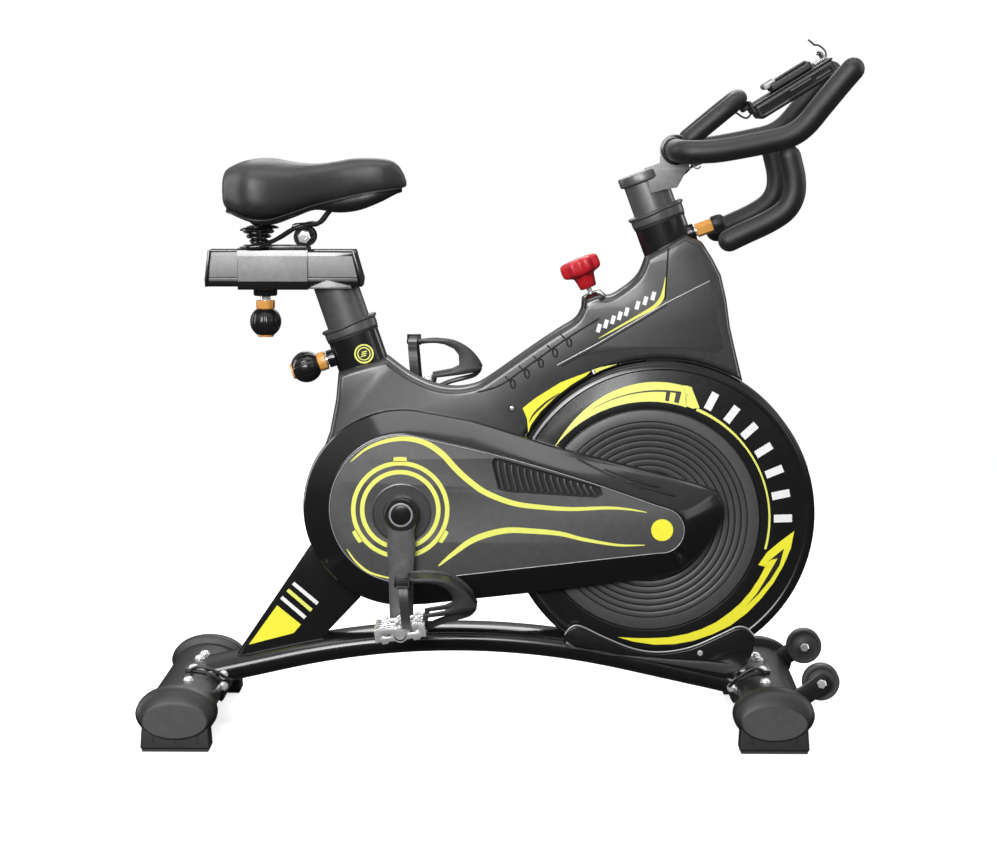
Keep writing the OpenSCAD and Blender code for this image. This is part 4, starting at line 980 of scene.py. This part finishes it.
def toe_clip(side, hand, z):
    """Moulded nylon basket before the shoe, and a strap with its buckle over it."""
    x0, yc, body = CRANK[0], side * PEDAL_Y, "pedal_" + hand
    line = curve([(43, 3), (70, 14), (104, 23), (115, 30), (118, 38), (111, 50), (95, 65), (73, 77), (43, 81),
                  (16, 79)], 5)
    rings = []
    for p, normal in with_normals(line):
        ring = [(p + normal * 2.6 * soft(sin(a), 0.8), 28 * soft(cos(a), 0.5)) for a in turns(20)]
        rings.append([(x0 + q.x, yc + v, z + q.y) for q, v in ring])
    skin("toe_cage." + hand, rings, "nylon", body, smooth=50, replaces=(hand + "_toe_clip",))
    top = curve([(15, 81.5), (43, 84), (74, 80), (97, 68), (113, 52), (121.5, 37)], 5)
    wall = top + [Vector(p) for p in ((114, 32), (86, 27), (46, 22), (42, 1), (37, 1), (38, 27), (70, 33),
                                      (81, 38), (84, 44), (83, 56), (75, 66), (60, 73), (43, 76), (30, 76),
                                      (15, 75))]
    for i, (u0, u1, lift) in enumerate(((26, 30, 0), (-30, -26, 4))):
        outline = [(x0 + p.x, z + p.y + (lift if p.y > 50 else 0)) for p in wall]
        plate("toe_wall.%d.%s" % (i, hand), [outline], yc + side * u0, yc + side * u1, "nylon", body,
              edge=1.2)
    half = [(9, 48.2), (22, 47), (58, 45.5), (74, 40), (81.5, 28), (83, 8)]
    path = curve(half + [(up, -across) for up, across in reversed(half)], 4)
    rings = []
    for p, normal in with_normals(path):
        ring = []
        for dx, dn in ((-7, -1.1), (7, -1.1), (7.4, 0), (7, 1.1), (-7, 1.1), (-7.4, 0)):
            q = p + normal * dn
            ring.append((x0 + 13 - 6 * (p.x - 10) / 70 + dx, yc + side * q.y, z + q.x))
        rings.append(ring)
    skin("toe_strap." + hand, rings, "nylon", body, smooth=50)
    yo = yc + side * 44
    buckle = [(x0 + a, yo, z + b) for a, b in ((-4, 72), (17, 72), (17, 87), (-4, 87), (-4, 72))]
    tube("toe_buckle." + hand, buckle, 2.0, "nylon", body, sides=10)
    latch = [(x0 + a, z + b) for a, b in ((-3, 73), (16, 73), (16, 86), (-3, 86))]
    plate("toe_latch." + hand, [latch], yo - 1.4, yo + 1.4, "nylon", body, edge=0.6)


# ---------- saddle ----------

TOP_Z = (893, 905, 906, 899, 897, 901, 907, 907.5, 903)
SEAM_Z = (824, 812, 808, 818, 830, 838, 846, 852, 857)
LOW_Z = (818, 806, 800, 811, 823, 818.5, 822, 835, 851)
HALF_W = (62, 96, 100, 84, 56, 40, 33, 29, 12)
SADDLE_X, SADDLE_LENGTH = -441.0, 288.0


def along(values, t):
    """Smooth value at share t of the saddle's length, back to nose."""
    n = len(values) - 1
    i = min(int(t * n), n - 1)
    return between(*(values[max(0, min(i + k, n))] for k in (-1, 0, 1, 2)), t * n - i)


def saddle_ring(t, shrink, count=56):
    """Cross-section of the padding: crowned top, full flanks, tucked under at the seam."""
    x = SADDLE_X + 2 + t * (SADDLE_LENGTH + 2)
    top, seam, w = along(TOP_Z, t) - shrink, along(SEAM_Z, t) + 1, along(HALF_W, t) - shrink
    back = 1 - min(1.0, (x - SADDLE_X) / 15)
    nose = 1 - min(1.0, max(0.0, (SADDLE_X + SADDLE_LENGTH + 4.5 - x) / 30))
    top = seam + (top - 10 * (1 - sqrt(1 - back * back)) - seam) * sqrt(1 - nose * nose)
    w *= sqrt(1 - 0.6 * nose * nose)
    mid = (top + seam) / 2
    ring = []
    for a in turns(count):
        y, s = w * soft(cos(a), 0.72), sin(a)
        z = mid + (top - mid) * soft(s, 0.68) if s > 0 else mid + (mid - seam) * soft(s, 0.42)
        if s > 0 and t < 0.62:
            z -= 5.0 * exp(-(y / 9.0) ** 2) * sin(pi * t / 0.62)
        ring.append(Vector((x, y, z)))
    return ring


def voxels(obj, size):
    tool = obj.modifiers.new("remesh", "REMESH")
    tool.mode, tool.voxel_size = "VOXEL", size * MM


def cushion(obj, pressure, cap):
    """Lets a cloth skin swell under pressure, with no point moving further than cap millimetres."""
    voxels(obj, 5.0)
    bpy.context.view_layer.objects.active = obj
    obj.select_set(True)
    bpy.ops.object.modifier_apply(modifier="remesh")
    start = [v.co.copy() for v in obj.data.vertices]
    cloth = obj.modifiers.new("cloth", "CLOTH")
    settings = cloth.settings
    settings.quality = 5
    settings.use_pressure, settings.uniform_pressure_force = True, pressure
    settings.tension_stiffness = settings.compression_stiffness = 25
    settings.bending_stiffness = 4
    settings.effector_weights.gravity = 0
    for step in range(1, 15):
        scene.frame_set(step)
    swollen = obj.evaluated_get(bpy.context.evaluated_depsgraph_get()).to_mesh()
    moved = [v.co.copy() for v in swollen.vertices]
    obj.modifiers.remove(cloth)
    scene.frame_set(1)
    for v, a, b in zip(obj.data.vertices, start, moved):
        d = b - a
        v.co = a + (d if d.length < cap * MM else d.normalized() * cap * MM)


def smooth_mesh(obj, times):
    with edited(obj.data) as bm:
        for _ in range(times):
            bmesh.ops.smooth_vert(bm, verts=bm.verts, factor=0.5, use_axis_x=True, use_axis_y=True,
                                  use_axis_z=True)


def crease(pad):
    """Soft fold in the flank where the wide back meets the nose."""
    for v in pad.data.vertices:
        x, y, z = v.co / MM
        if z > 822:
            fold = exp(-((x + 352 + (z - 860) * 0.35) / 26.0) ** 2) * min(1.0, abs(y) / 30.0)
            v.co.y -= copysign(2.6 * fold * MM, y)


def saddle():
    """Padding that a cloth run swells, the piped seam below it and the moulded base."""
    rings = [saddle_ring(0.5 - 0.5 * cos(pi * i / 48), 3.5) for i in range(49)]
    pad = skin("saddle_pad.skin", rings, "vinyl", "saddle", replaces=("saddle_pad",), smooth=180)
    cushion(pad, 3.0, 3.5)
    smooth_mesh(pad, 5)
    crease(pad)
    tool = pad.modifiers.new("finer", "SUBSURF")
    tool.levels = tool.render_levels = 1
    shade(pad, 180)
    seam = []
    for t in [0.03 + 0.93 * i / 40 for i in range(41)]:
        p = saddle_ring(t, 1.0)[0]
        seam.append(Vector((p.x, p.y - 5, along(SEAM_Z, t) + 1)))
    loop = seam + [Vector((p.x, -p.y, p.z)) for p in reversed(seam)]
    tube("saddle_piping", loop + loop[:1], 1.5, "seat_shell", "saddle", sides=12, ends="flat")
    rings = []
    for t in [i / 36 for i in range(37)]:
        x = SADDLE_X + 9 + t * (SADDLE_LENGTH - 14)
        top, low = along(SEAM_Z, t) + 2.5, along(LOW_Z, t)
        w = (along(HALF_W, t) - 7 + 3 * t) * (1 - 0.5 * max(0.0, t * 8 - 7) ** 2)
        ring = []
        for a in turns(40):
            s = sin(a)
            z = top + 1.5 * s if s > 0 else top - max(top - low, 1.2) * abs(s) ** 0.45
            ring.append((x, w * soft(cos(a), 0.8), z))
        rings.append(ring)
    skin("saddle_base.shell", rings, "seat_shell", "saddle", replaces=("saddle_base",), smooth=60)


def saddle_fittings():
    """Wire rails, flat coil springs under their discs, and the clamp's discs and nuts."""
    wire = [(-262, 14, 834), (-276, 20, 818), (-290, 28, 802), (-308, 32.5, 800), (-330, 36, 793),
            (-356, 44, 777), (-378, 52, 768), (-395, 52, 766), (-401, 47.5, 766), (-395, 43, 766),
            (-380, 42, 766)]
    disc = [(26, 791.6), (26.4, 792.6), (25.6, 794.2), (20, 796.4), (9, 797.2)]
    post = [(4.5, 768), (4.5, 800), (9, 803), (12, 806)]
    clamp = [(16.6, 12), (17, 13), (17, 21.4), (15.6, 23), (11, 23)]
    nut = [(10.5, 22.6), (10.5, 29.6), (9.4, 31), (4.6, 31.2), (4.2, 30), (1, 30)]
    for side, hand in SIDES:
        rail = tube("saddle_rail." + hand, curve([(x, side * y, z) for x, y, z in wire], 6), 3.5, "wire",
                    "saddle", sides=16)
        coil = []
        for t in [i / 72 for i in range(73)]:
            a, r = 2 * pi * 2.5 * t, 7 + 12 * t
            coil.append((-385 + r * cos(a), side * (46 + r * sin(a)), 771.5 + 19 * t))
        spring = tube("saddle_spring." + hand, coil, 2.4, "wire", "saddle", sides=12)
        foot = (-385, side * 46, 0)
        lathe("spring_disc." + hand, disc, foot, (0, 0, 1), "wire", "saddle", sides=44)
        lathe("spring_post." + hand, post, foot, (0, 0, 1), "wire", "saddle", sides=24)
        spun("clamp_disc." + hand, clamp, -312, 781, side, "wire", "saddle")
        spun("clamp_nut." + hand, nut, -312, 781, side, "chrome", "saddle", sides=6, smooth=20)
        if side < 0:
            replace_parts(rail, "saddle_rails")
            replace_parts(spring, "saddle_springs")
    bridge = ((-334, 792), (-296, 797), (-292, 804), (-330, 801))
    plate("clamp_bridge", [bridge], -26, 26, "wire", "saddle", edge=1.2)


# ---------- handlebar ----------

HORN_Y = 172
BAR = (275, 918)


def bars():
    """Padded outer and inner bars, the drops below them, and the plates that hold the bar on its post."""
    horn = [(275, -110, 918), (275, -138, 918), (280, -158, 917.5), (298, -169, 917)]
    horn += facing([(330, 918.5), (370, 925), (410, 933), (440, 941), (464, 957), (490, 988), (518, 1022),
                    (547.4, 1056)], -HORN_Y)
    half = curve(horn, 6)
    path = half[::-1] + [Vector((BAR[0], 0, BAR[1]))] + [Vector((p.x, -p.y, p.z)) for p in half]
    tube("main_bar.grip", path, 17.8, "foam", "bars", sides=36, replaces=("main_bar",))
    inner = curve([(286, -60, 927.5), (320, -60, 956), (348, -59, 979), (364, -52, 992), (371, -34, 998),
                   (372, 0, 999)], 6)
    path = inner + [Vector((p.x, -p.y, p.z)) for p in reversed(inner[:-1])]
    tube("inner_bar.grip", path, 14.0, "foam", "bars", sides=30, replaces=("inner_bar",))
    drop = curve([(437, 927), (444, 900), (449, 876), (448, 851), (436, 829), (410, 811), (372, 793),
                  (335, 775)], 6)
    for side, hand in SIDES:
        piece = tube("drop_bar." + hand, facing(drop, side * HORN_Y), 17.2, "foam", "bars", sides=36)
        if side < 0:
            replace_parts(piece, "drop_bars")
    gusset = ([(226, 888), (251, 897), (251.4, 908)] + arc(BAR, 24, -14, 205, 30)[:0:-1]
              + [(298.5, 911), (299.5, 898.5), (318, 897), (292, 886), (277, 859), (262, 857), (236, 850)])
    for side, hand in SIDES:
        plate("gusset." + hand, [gusset, arc((298, 893), 2.6, 0, 330, 11)], side * 20, side * 24, "rail",
              "bars", edge=0.6)
        plate("bar_clamp." + hand, [arc(BAR, 23.5, 0, 352, 44), arc(BAR, 18.2, 0, 345, 23)], side * 22,
              side * 27.5, "shell", "bars", edge=0.8)


# ---------- seat rail and posts ----------

POST_OVAL = (35, 22)
BADGE = (-218, 596)


def rounded_upright(half, low, high, r):
    """Rounded rectangle across the bike, (y, z) points between two heights."""
    out = []
    for cy, cz, first in ((half - r, high - r, 0), (r - half, high - r, 90), (r - half, low + r, 180),
                          (half - r, low + r, 270)):
        for a in [radians(first + 22.5 * k) for k in range(5)]:
            out.append((cy + r * cos(a), cz + r * sin(a)))
    return out


def sleeve(name, place, steps, look, body="frame", half=POST_OVAL, count=64, **more):
    """Walls of an oval round a leaning post; steps are (growth of the oval, height along the post)."""
    rings = [[place((half[0] + g) * cos(t), (half[1] + g) * sin(t), s) for t in turns(count)]
             for g, s in steps]
    return skin(name, rings, look, body, **more)


def seat_rail():
    """Boxed rail with pale flanks on the seat post, and the sleeve that slides along it."""
    rail = ((-461, 759.6), (-236, 759.6), (-231, 757), (-223, 716), (-225, 702.4), (-466, 702.4),
            (-466.4, 716))
    plate("seat_rail", [rail], -31.8, 31.8, "shell", "seat_mast", edge=3.4, replaces=("seat_post",))
    flank = ((-459, 751), (-236, 751), (-228, 717.5), (-462.5, 717.5))
    foot = ((-462.5, 716.6), (-228, 716.6), (-227, 711), (-463, 711))
    slider = ((-416.6, 751), (-306.4, 751), (-306.4, 711), (-416.6, 711))
    gusset = ((-303, 699), (-301.6, 702.6), (-276, 713.6), (-238, 704.4), (-236, 699))
    for side, hand in SIDES:
        for name, outline, y0, y1, look, body, edge in (("rail_flank.", flank, 31, 32.3, "rail", "seat_mast",
                                                         0.5),
                                                        ("rail_foot.", foot, 31, 32.1, "post", "seat_mast",
                                                         0.4),
                                                        ("sleeve_flank.", slider, 35, 36.3, "rail",
                                                         "seat_slider", 0.25),
                                                        ("post_gusset.", gusset, 20, 33.4, "post",
                                                         "seat_mast", 0.8)):
            plate(name + hand, [outline], side * y0, side * y1, look, body, edge=edge)
    caps = {"rear": ((-464.6, 759.6), (-460.4, 759.6), (-465.4, 714), (-465, 702.3), (-469.4, 702.3),
                     (-470, 714)),
            "front": ((-236.6, 759.6), (-232.6, 759.6), (-219.4, 714), (-221, 702.3), (-225.6, 702.3),
                      (-223.6, 714))}
    for end, cap in caps.items():
        made = plate("rail_cap." + end, [cap], -32, 32, "shell", "seat_mast", edge=1.3)
        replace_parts(made, "rail_end_caps")
    sleeve("seat_post.tube", SEAT, ((-1.5, -114), (0, -112.5), (0, 114), (-1.5, 115.5)), "post", "seat_mast",
           smooth=40)
    a, b = POST_OVAL
    # Five near-black discs standing just off the post, painted as the shade inside its adjusting holes
    for i in range(5):
        rings = []
        for r, lift in ((5.4, -0.6), (5.4, 0.06), (2.7, 0.06), (0.3, 0.06)):
            hole = [(r * cos(t), 60 - 18 * i + r * sin(t)) for t in turns(24)]
            rings.append([SEAT(-a * sqrt(1 - (y / b) ** 2) - lift, y, s) for y, s in hole])
        skin("post_hole.%d" % i, rings, "gap", "seat_mast")
    outer, inner = rounded_upright(36, 697.6, 763.4, 4), rounded_upright(32.6, 701.2, 760.8, 1.5)
    rings = [[(x, y, z) for y, z in shape]
             for x, shape in ((-417, inner), (-417, outer), (-306, outer), (-306, inner))]
    skin("seat_sleeve", rings, "shell", "seat_slider", loop=True, smooth=34, replaces=("seat_carriage",))
    tray = ((-413, 763.2), (-307, 763.2), (-309, 766.6), (-411, 766.6))
    plate("sleeve_top", [tray], -27, 27, "wire", "seat_slider", edge=0.8)
    lug = [(-321, 764), (-305.5, 764), (-305.5, 778)] + arc((-313.2, 780), 7.6, 0, 180, 12)
    plate("clamp_lug", [lug], -11.4, 11.4, "wire", "seat_slider", edge=1.0)


def collar(name, place, s0, s1):
    """Oval sleeve round a leaning post, with a lip that dips towards its rear."""
    rings = []
    for s, grow in ((s0, 0), (s0 + 1, 1.0), (s0 + 5, 1.2), (s1 - 7, 1.0), (s1 - 4.5, 3.9), (s1 - 1, 3.9),
                    (s1, 1.2), (s1, -2.0)):
        ring = []
        for t in turns(64):
            dip = 3.4 * (0.5 - 0.5 * tanh(3.2 * cos(t))) if s > s0 + 6 else 0
            ring.append(place((42 + grow) * cos(t), (26 + grow) * sin(t), s - dip))
        rings.append(ring)
    return skin(name, rings, "post", smooth=40)


def posts():
    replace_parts(collar("seat_collar", SEAT, 28.6, 49), "tube_collars")
    collar("head_collar", HEAD, 18.1, 38.5)
    for name, place, s in (("seat_collar_band", SEAT, 26.6), ("head_collar_band", HEAD, 16.2)):
        sleeve(name, place, ((0.2, s - 2.6), (1.3, s - 2.2), (1.3, s + 1.6), (0.2, s + 2)), "gap",
               half=(41, 25), count=56, smooth=40)
    sleeve("bar_post", HEAD, ((-1.5, -105), (0, -103.5), (0, 90), (-1, 97)), "post", "bars", smooth=40,
           replaces=("handlebar_post",))
    sleeve("post_cap_band", HEAD, ((0.1, 83), (3.6, 84), (5.2, 86), (5.2, 97.5), (4.4, 99), (2.5, 99.6)),
           "post", "bars", count=56, smooth=35)


def badge():
    """Round disc with two plain rings and three short bars."""
    x, z = BADGE
    spun("badge.disc", [(15.6, 25), (16.2, 26.4), (15.2, 28.2), (2, 28.4)], x, z, -1, "gap", sides=56,
         replaces=("badge_ring",))
    for i, (r0, r1) in enumerate(((15.4, 12.9), (10.6, 8.9))):
        spun("badge.ring%d" % i, [(r1, 27.8), (r1, 28.9), (r0, 28.9), (r0, 27.6)], x, z, -1, "pale", sides=56)
    for i in range(3):
        cx, cz = x + (i - 1) * 0.8, z + (i - 1) * 3.4
        print_on("badge.bar%d" % i, ribbon([(cx - 4.2, cz - 1.2), (cx + 4.2, cz + 1.2)], 1.7, (1, 1)), -28.4,
                 "pale", 0.4)


# ---------- console ----------

TRAY = leant((387, 0, 985), 31.6)


def tray_box(name, low, high, look, body="bars", bevel=1.0):
    return box(name, low, high, look, body, bevel, TRAY)


def on_tray(name, profile, u, v, look, sides):
    """A turned piece that stands on the tray."""
    return lathe(name, profile, TRAY(u, v, 0), TRAY(0, 0, 1) - TRAY(0, 0, 0), look, "bars", sides=sides)


def console():
    """Display tray with its ledge, slots and foot, and the console, visor and sprung clip on it."""
    tray = tray_box("tray.body", (5, -70, -27), (147, 70, -3), "console", bevel=5)
    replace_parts(tray, "tablet_tray")
    tray_box("tray.face", (4, -69, -4), (148, 69, -0.6), "shell", bevel=1.4)
    tray_box("tray.ledge", (1.5, -66, -14), (6, 66, 8), "console", bevel=1.5)
    for i, v in enumerate((-1, 1)):
        tray_box("tray.side%d" % i, (10, v * 70 - 0.8, -20), (140, v * 70 + 0.8, -8), "shell", bevel=0.7)
        for k, (u0, u1, w) in enumerate(((14, 58, -24), (66, 104, -13), (110, 136, -18))):
            tray_box("tray.slot%d.%d" % (i, k), (u0, v * 70.6 - 0.8, w), (u1, v * 70.6 + 0.8, w + 2.4),
                     "post", bevel=0.6)
    tray_box("tray.foot", (-11, -22, -4), (7, 22, 6), "console", bevel=2)
    for i, v in enumerate((-14, 14)):
        on_tray("tray.screw%d" % i, [(4.2, 6), (4.2, 8), (3, 9), (1.5, 9)], -3, v, "chrome", 24)
    house = tray_box("console.case", (44, -46, -0.4), (118, 46, 13), "console", bevel=4.5)
    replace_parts(house, "console_housing")
    tray_box("console.screen", (50, -38, 12.4), (98, 38, 13.6), "screen", bevel=0.5)
    tray_box("console.bezel", (48, -41, 12.4), (101, 41, 13.2), "gap", bevel=0.4)
    for i, v in enumerate((-26, 0, 26)):
        on_tray("console.button%d" % i, [(6.5, 12.6), (6.5, 13.8), (5.2, 14.6), (1, 14.8)], 109, v, "rib", 28)
    tray_box("console.visor", (36, -40, 8), (60, 40, 17), "visor", bevel=3.5)
    tray_box("console.ridge", (56, -45, 11), (112, -39, 17), "shell", bevel=2.5)
    jaw = tray_box("clip.plate", (122, -26, 0.6), (143, 26, 4.4), "clip", "clip", 1.2)
    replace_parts(jaw, "tablet_clip")
    tray_box("clip.jaw", (139.5, -26, 0.6), (143.5, 26, 16), "clip", "clip", 1.6)
    tube("clip.pad", [TRAY(138.6, v, 12) for v in (-23, 0, 23)], 1.7, "foam", "clip", sides=12)
    hook = curve([(300, -24, 901), (303, -26, 892), (309, -27, 889), (314, -26, 893)], 5)
    tube("console.hook", hook, 1.3, "line", "bars", sides=8)


def leads():
    """The console's two thin leads, one down into the post and one looped over the tray's top edge,
    and the retaining cords at the bolted joints of the feet."""
    low = [(393, -12, 974.5), (386, -22, 968), (377, -34, 970), (365, -41, 976), (348, -42, 964),
           (320, -42, 943), (304, -40, 927), (302, -32, 912), (304, -22, 905), (300, -13, 893),
           (288, -12, 880), (267, -12, 873)]
    top = [(509, 32, 1053), (513, 32, 1062), (513, 34, 1072), (507, 35, 1079), (500, 35, 1083),
           (495, 32, 1083), (490, 29, 1087), (485, 30, 1091)]
    rear = [(-497, -56, 88.7), (-490, -57, 95), (-476, -58, 96), (-462, -58, 92), (-448, -57, 84),
            (-438, -54, 77), (-430, -52.7, 74)]
    front = [(421, -58, 88.7), (414, -60, 95), (402, -61, 97), (390, -61, 92), (380, -60.5, 84),
             (374, -59, 78), (369, -56, 72), (364, -52.7, 66)]
    for name, route, d, body, node, end, lay in (
            ("lead.post", low, 3.0, "bars", "console_leads", "object", "hanging"),
            ("lead.tray", top, 3.0, "bars", "console_leads", "bare", "loose"),
            ("cord.rear", rear, 5.0, "frame", "retaining_cords", "object", "loose"),
            ("cord.front", front, 5.0, "frame", "retaining_cords", "object", "loose")):
        points = curve(route, 4)
        data = bpy.data.curves.new(name, "CURVE")
        data.dimensions, data.bevel_depth, data.bevel_resolution = "3D", d / 2 * MM, 4
        data.use_fill_caps = True
        line = data.splines.new("POLY")
        line.points.add(len(points) - 1)
        for point, p in zip(line.points, points):
            point.co = (*(p * MM), 1)
        cord = link_piece(name, data, "lead", body, (node,))


# ---------- knobs ----------

PIN_R = 8
SEAT_PIN, BAR_PIN, SLIDER_PIN = (-232.4, 0, 600), (262, 0, 773), (-376.5, 0, 700.5)


def across_post(lean, way):
    """Direction square to a post that leans back by lean degrees: way is 1 forward, -1 backward."""
    return way * Vector((cos(radians(lean)), 0, sin(radians(lean))))


def pull_knob(name, origin, axis, reach, body, node):
    """Steel stem, orange collar, fluted black ball with an orange disc let into its end."""
    origin = Vector(origin)
    lathe(name + ".stem", [(7.4, 0), (PIN_R, 0.8), (PIN_R, reach)], origin, axis, "chrome", body, sides=36,
          replaces=(node,))
    rim = [(9, -1), (14.2, -1), (15, 0), (15, 10), (14, 12), (10, 12)]
    lathe(name + ".collar", [(r, reach + h) for r, h in rim], origin, axis, "orange", body,
          flute=lambda a, h: 1 - 0.05 * max(0, cos(8 * a)) ** 6)
    mid = reach + 33
    ball = [(25 * sin(radians(t)), mid - 25 * cos(radians(t))) for t in range(28, 152, 4)]

    def grooved(a, h):
        return 1 - 0.05 * max(0.0, cos(8 * a)) ** 4 * max(0.0, 1 - ((h - mid) / 21) ** 2)
    lathe(name + ".ball", ball, origin, axis, "ball", body, sides=160, flute=grooved, smooth=180)
    disc = [(12.8, 53), (12.8, 56), (11.8, 57.2), (2, 57.6)]
    lathe(name + ".disc", [(r, reach + h) for r, h in disc], origin, axis, "orange", body, sides=40)


def bar_knob(fore):
    """The front pin ends in a plain hexagonal sleeve and a short black grip."""
    lathe("bar_knob.stem", [(7.4, 36.5), (PIN_R, 37.4), (PIN_R, 51)], BAR_PIN, fore, "chrome", "bar_pin",
          sides=36, replaces=("bar_knob",))
    hexagon = [(8, 49.6), (10.4, 49.8), (11.4, 51), (11.4, 75.6), (10.4, 77), (8, 77)]
    lathe("bar_knob.sleeve", hexagon, BAR_PIN, fore, "orange", "bar_pin", sides=6, smooth=20)
    grip = [(9, 76.6), (12.6, 77), (13.4, 78.4), (13.6, 84), (13.2, 90), (11.6, 94.6), (8, 97.2), (2, 98)]
    lathe("bar_knob.grip", grip, BAR_PIN, fore, "foam", "bar_pin", sides=64, smooth=180,
          flute=lambda a, h: 1 - 0.03 * max(0.0, cos(8 * a)) ** 4)


def knobs():
    back, fore = across_post(19, -1), across_post(20, 1)
    pull_knob("seat_knob", Vector(SEAT_PIN) + back * 36.5, back, 14.5, "seat_pin", "seat_knob")
    bar_knob(fore)
    pull_knob("slider_knob", SLIDER_PIN, (0, 0, -1), 22.5, "slider_pin", "slider_knob")
    boss = [(13, 35), (14, 36), (14, 46), (12.6, 47), (9, 47)]
    lathe("knob_boss.seat", boss, SEAT_PIN, back, "shell", sides=40)
    lathe("knob_boss.bar", boss, BAR_PIN, fore, "shell", sides=40)
    lathe("knob_boss.slider", [(19, -2), (19, 11), (17.6, 13.2), (11, 13.6)], (SLIDER_PIN[0], 0, 699.6),
          (0, 0, -1), "shell", "seat_slider")
    # Boss on the top tube under the tension knob: round at its top and squarer where it sinks into the covers
    rings = [[BRAKE(a * soft(cos(t), p), b * soft(sin(t), p), s) for t in turns(72)]
             for a, b, s, p in ((11, 11, -45.4, 1), (14, 16, -46, 1), (16.5, 28, -48, 0.7),
                                (18, 36, -52, 0.5), (20.5, 39, -57, 0.42), (23.5, 39.3, -64, 0.4),
                                (27, 39.3, -70, 0.4), (29, 39.3, -75, 0.45), (30, 39, -79, 0.6),
                                (28, 38, -83, 0.8))]
    skin("brake_boss", rings, "shell", smooth=60)

    def lobed(a, h):
        if h > -17:
            return 1 + 0.11 * cos(7 * a) * min(1.0, (h + 17) / 6)
        return 1 + 0.028 * cos(8 * a)
    knob = [(4.3, -37), (11.5, -37), (13, -36.2), (14.2, -28), (16, -19), (17.5, -16.5), (20, -14.8),
            (24, -13.4), (27, -11.6), (28.8, -8.6), (29.4, -4), (29.4, 3), (28.8, 7.2), (27.2, 9.8),
            (24, 11.4), (18, 12), (12, 12.1), (8, 11.8), (2, 11.6)]
    lathe("tension_knob.body", knob, BRAKE(0, 0, 0), BRAKE(0, 0, 1) - BRAKE(0, 0, 0), "red", "tension",
          sides=168, flute=lobed, smooth=180, replaces=("tension_knob",))


# ---------- small running parts ----------

ROLLER = (500, 95)


def transport_wheels():
    x, z = ROLLER
    half = [(4.1, 11.4), (9, 11.8), (12, 10.2), (21.5, 10.2), (23.5, 11.8), (26.4, 12), (28.4, 10.4),
            (29, 7.5)]
    tyre = [(r, -y) for r, y in half] + half[::-1]
    arm = [(446, 50), (466, 46), (480, 62)] + arc(ROLLER, 16, -44, 136, 24) + [(470, 92), (452, 80)]
    for side, hand in SIDES:
        lathe("transport_wheel." + hand, tyre, (x, side * 152, z), (0, 1, 0), "wheel_rubber", "wheel_" + hand,
              sides=72, replaces=(hand + "_transport_wheel",))
        made = plate("transport_arm." + hand, [arm], side * 166, side * 171, "leg", edge=1.2)
        if side < 0:
            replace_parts(made, "transport_wheel_brackets")
        bolt = [(7.5, 171), (7.5, 175.4), (6.4, 176.8), (2, 177)]
        nut = [(2, 130.6), (6.6, 131), (7.5, 132), (7.5, 136)]
        spun("transport_bolt." + hand, bolt, x, z, side, "chrome", sides=6, smooth=20)
        spun("transport_axle." + hand, [(4, 134), (4, 171.5)], x, z, side, "chrome", sides=24)
        spun("transport_nut." + hand, nut, x, z, side, "chrome", sides=6, smooth=20)


def bolts():
    made = []
    head = [(9, -0.6), (9, 0.8), (7.5, 1.2), (7.2, 3), (5.6, 5), (3, 5.9), (1, 6.1)]
    for x in (-493, 417):
        for y in (-110, -40, 40, 110):
            z = 86 + (6 if abs(y) < 50 else 0)
            made.append(lathe("base_bolt.%d.%d" % (x, y), head, (x, y, z - 0.6), (0, 0, 1), "chrome",
                              sides=32))
    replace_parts(made[0], "frame_fasteners")
    for x in (-444, 368):
        for z in (64, 82):
            lathe("side_bolt.%d.%d" % (x, z), [(7.5, 0), (7.2, 2.4), (5.4, 4.4), (2, 5)], (x, -49.8, z),
                  (0, -1, 0), "chrome", sides=28)


# ---------- carried-over CAD pieces ----------

KEPT = {
    "paint": ("frame_weldment",),
    "shell": ("belt_cover_inner",),
    "steel": ("bottom_bracket_bearings", "flywheel_bearings", "crank_spindle", "flywheel_axle",
              "drive_pulley", "driven_pulley"),
    "iron": ("flywheel",),
    "belt": ("drive_belt",),
    "chrome": ("pedal_axles", "brake_rod"),
    "felt": ("brake_pad",),
    "wire": ("saddle_clamp",),
}
ROUNDED = {"frame_weldment": 0.8, "belt_cover_inner": 0.5}


def carried_over():
    for look, names in KEPT.items():
        for name in names:
            obj = nodes[name]
            obj.data.materials.clear()
            obj.data.materials.append(LOOK[look].material)
            if name in ROUNDED:
                weld = obj.modifiers.new("weld", "WELD")
                weld.merge_threshold = 0.00001
                round_edges(obj, ROUNDED[name], 3, 35)


leads()
base()
end_caps()
rear_leg()
frame_covers()
head_panels()
top_tube_marks()
frame_prints()
for hand_side, hand_name in SIDES:
    wheel_cover(hand_side, hand_name)
    wheel_prints(hand_side, hand_name)
dish(("wheel_cover.", "wheel_print.", "wheel_mark."))
cradles()
belt_case()
belt_prints()
for hand_side, hand_name in SIDES:
    crank(hand_side, hand_name, -hand_side)
for made_part in (pedal, toe_clip):
    made_part(-1, "right", CRANK[1] - CRANK_LENGTH)
    made_part(1, "left", CRANK[1] + CRANK_LENGTH)
saddle()
saddle_fittings()
bars()
seat_rail()
posts()
badge()
console()
knobs()
transport_wheels()
bolts()
carried_over()
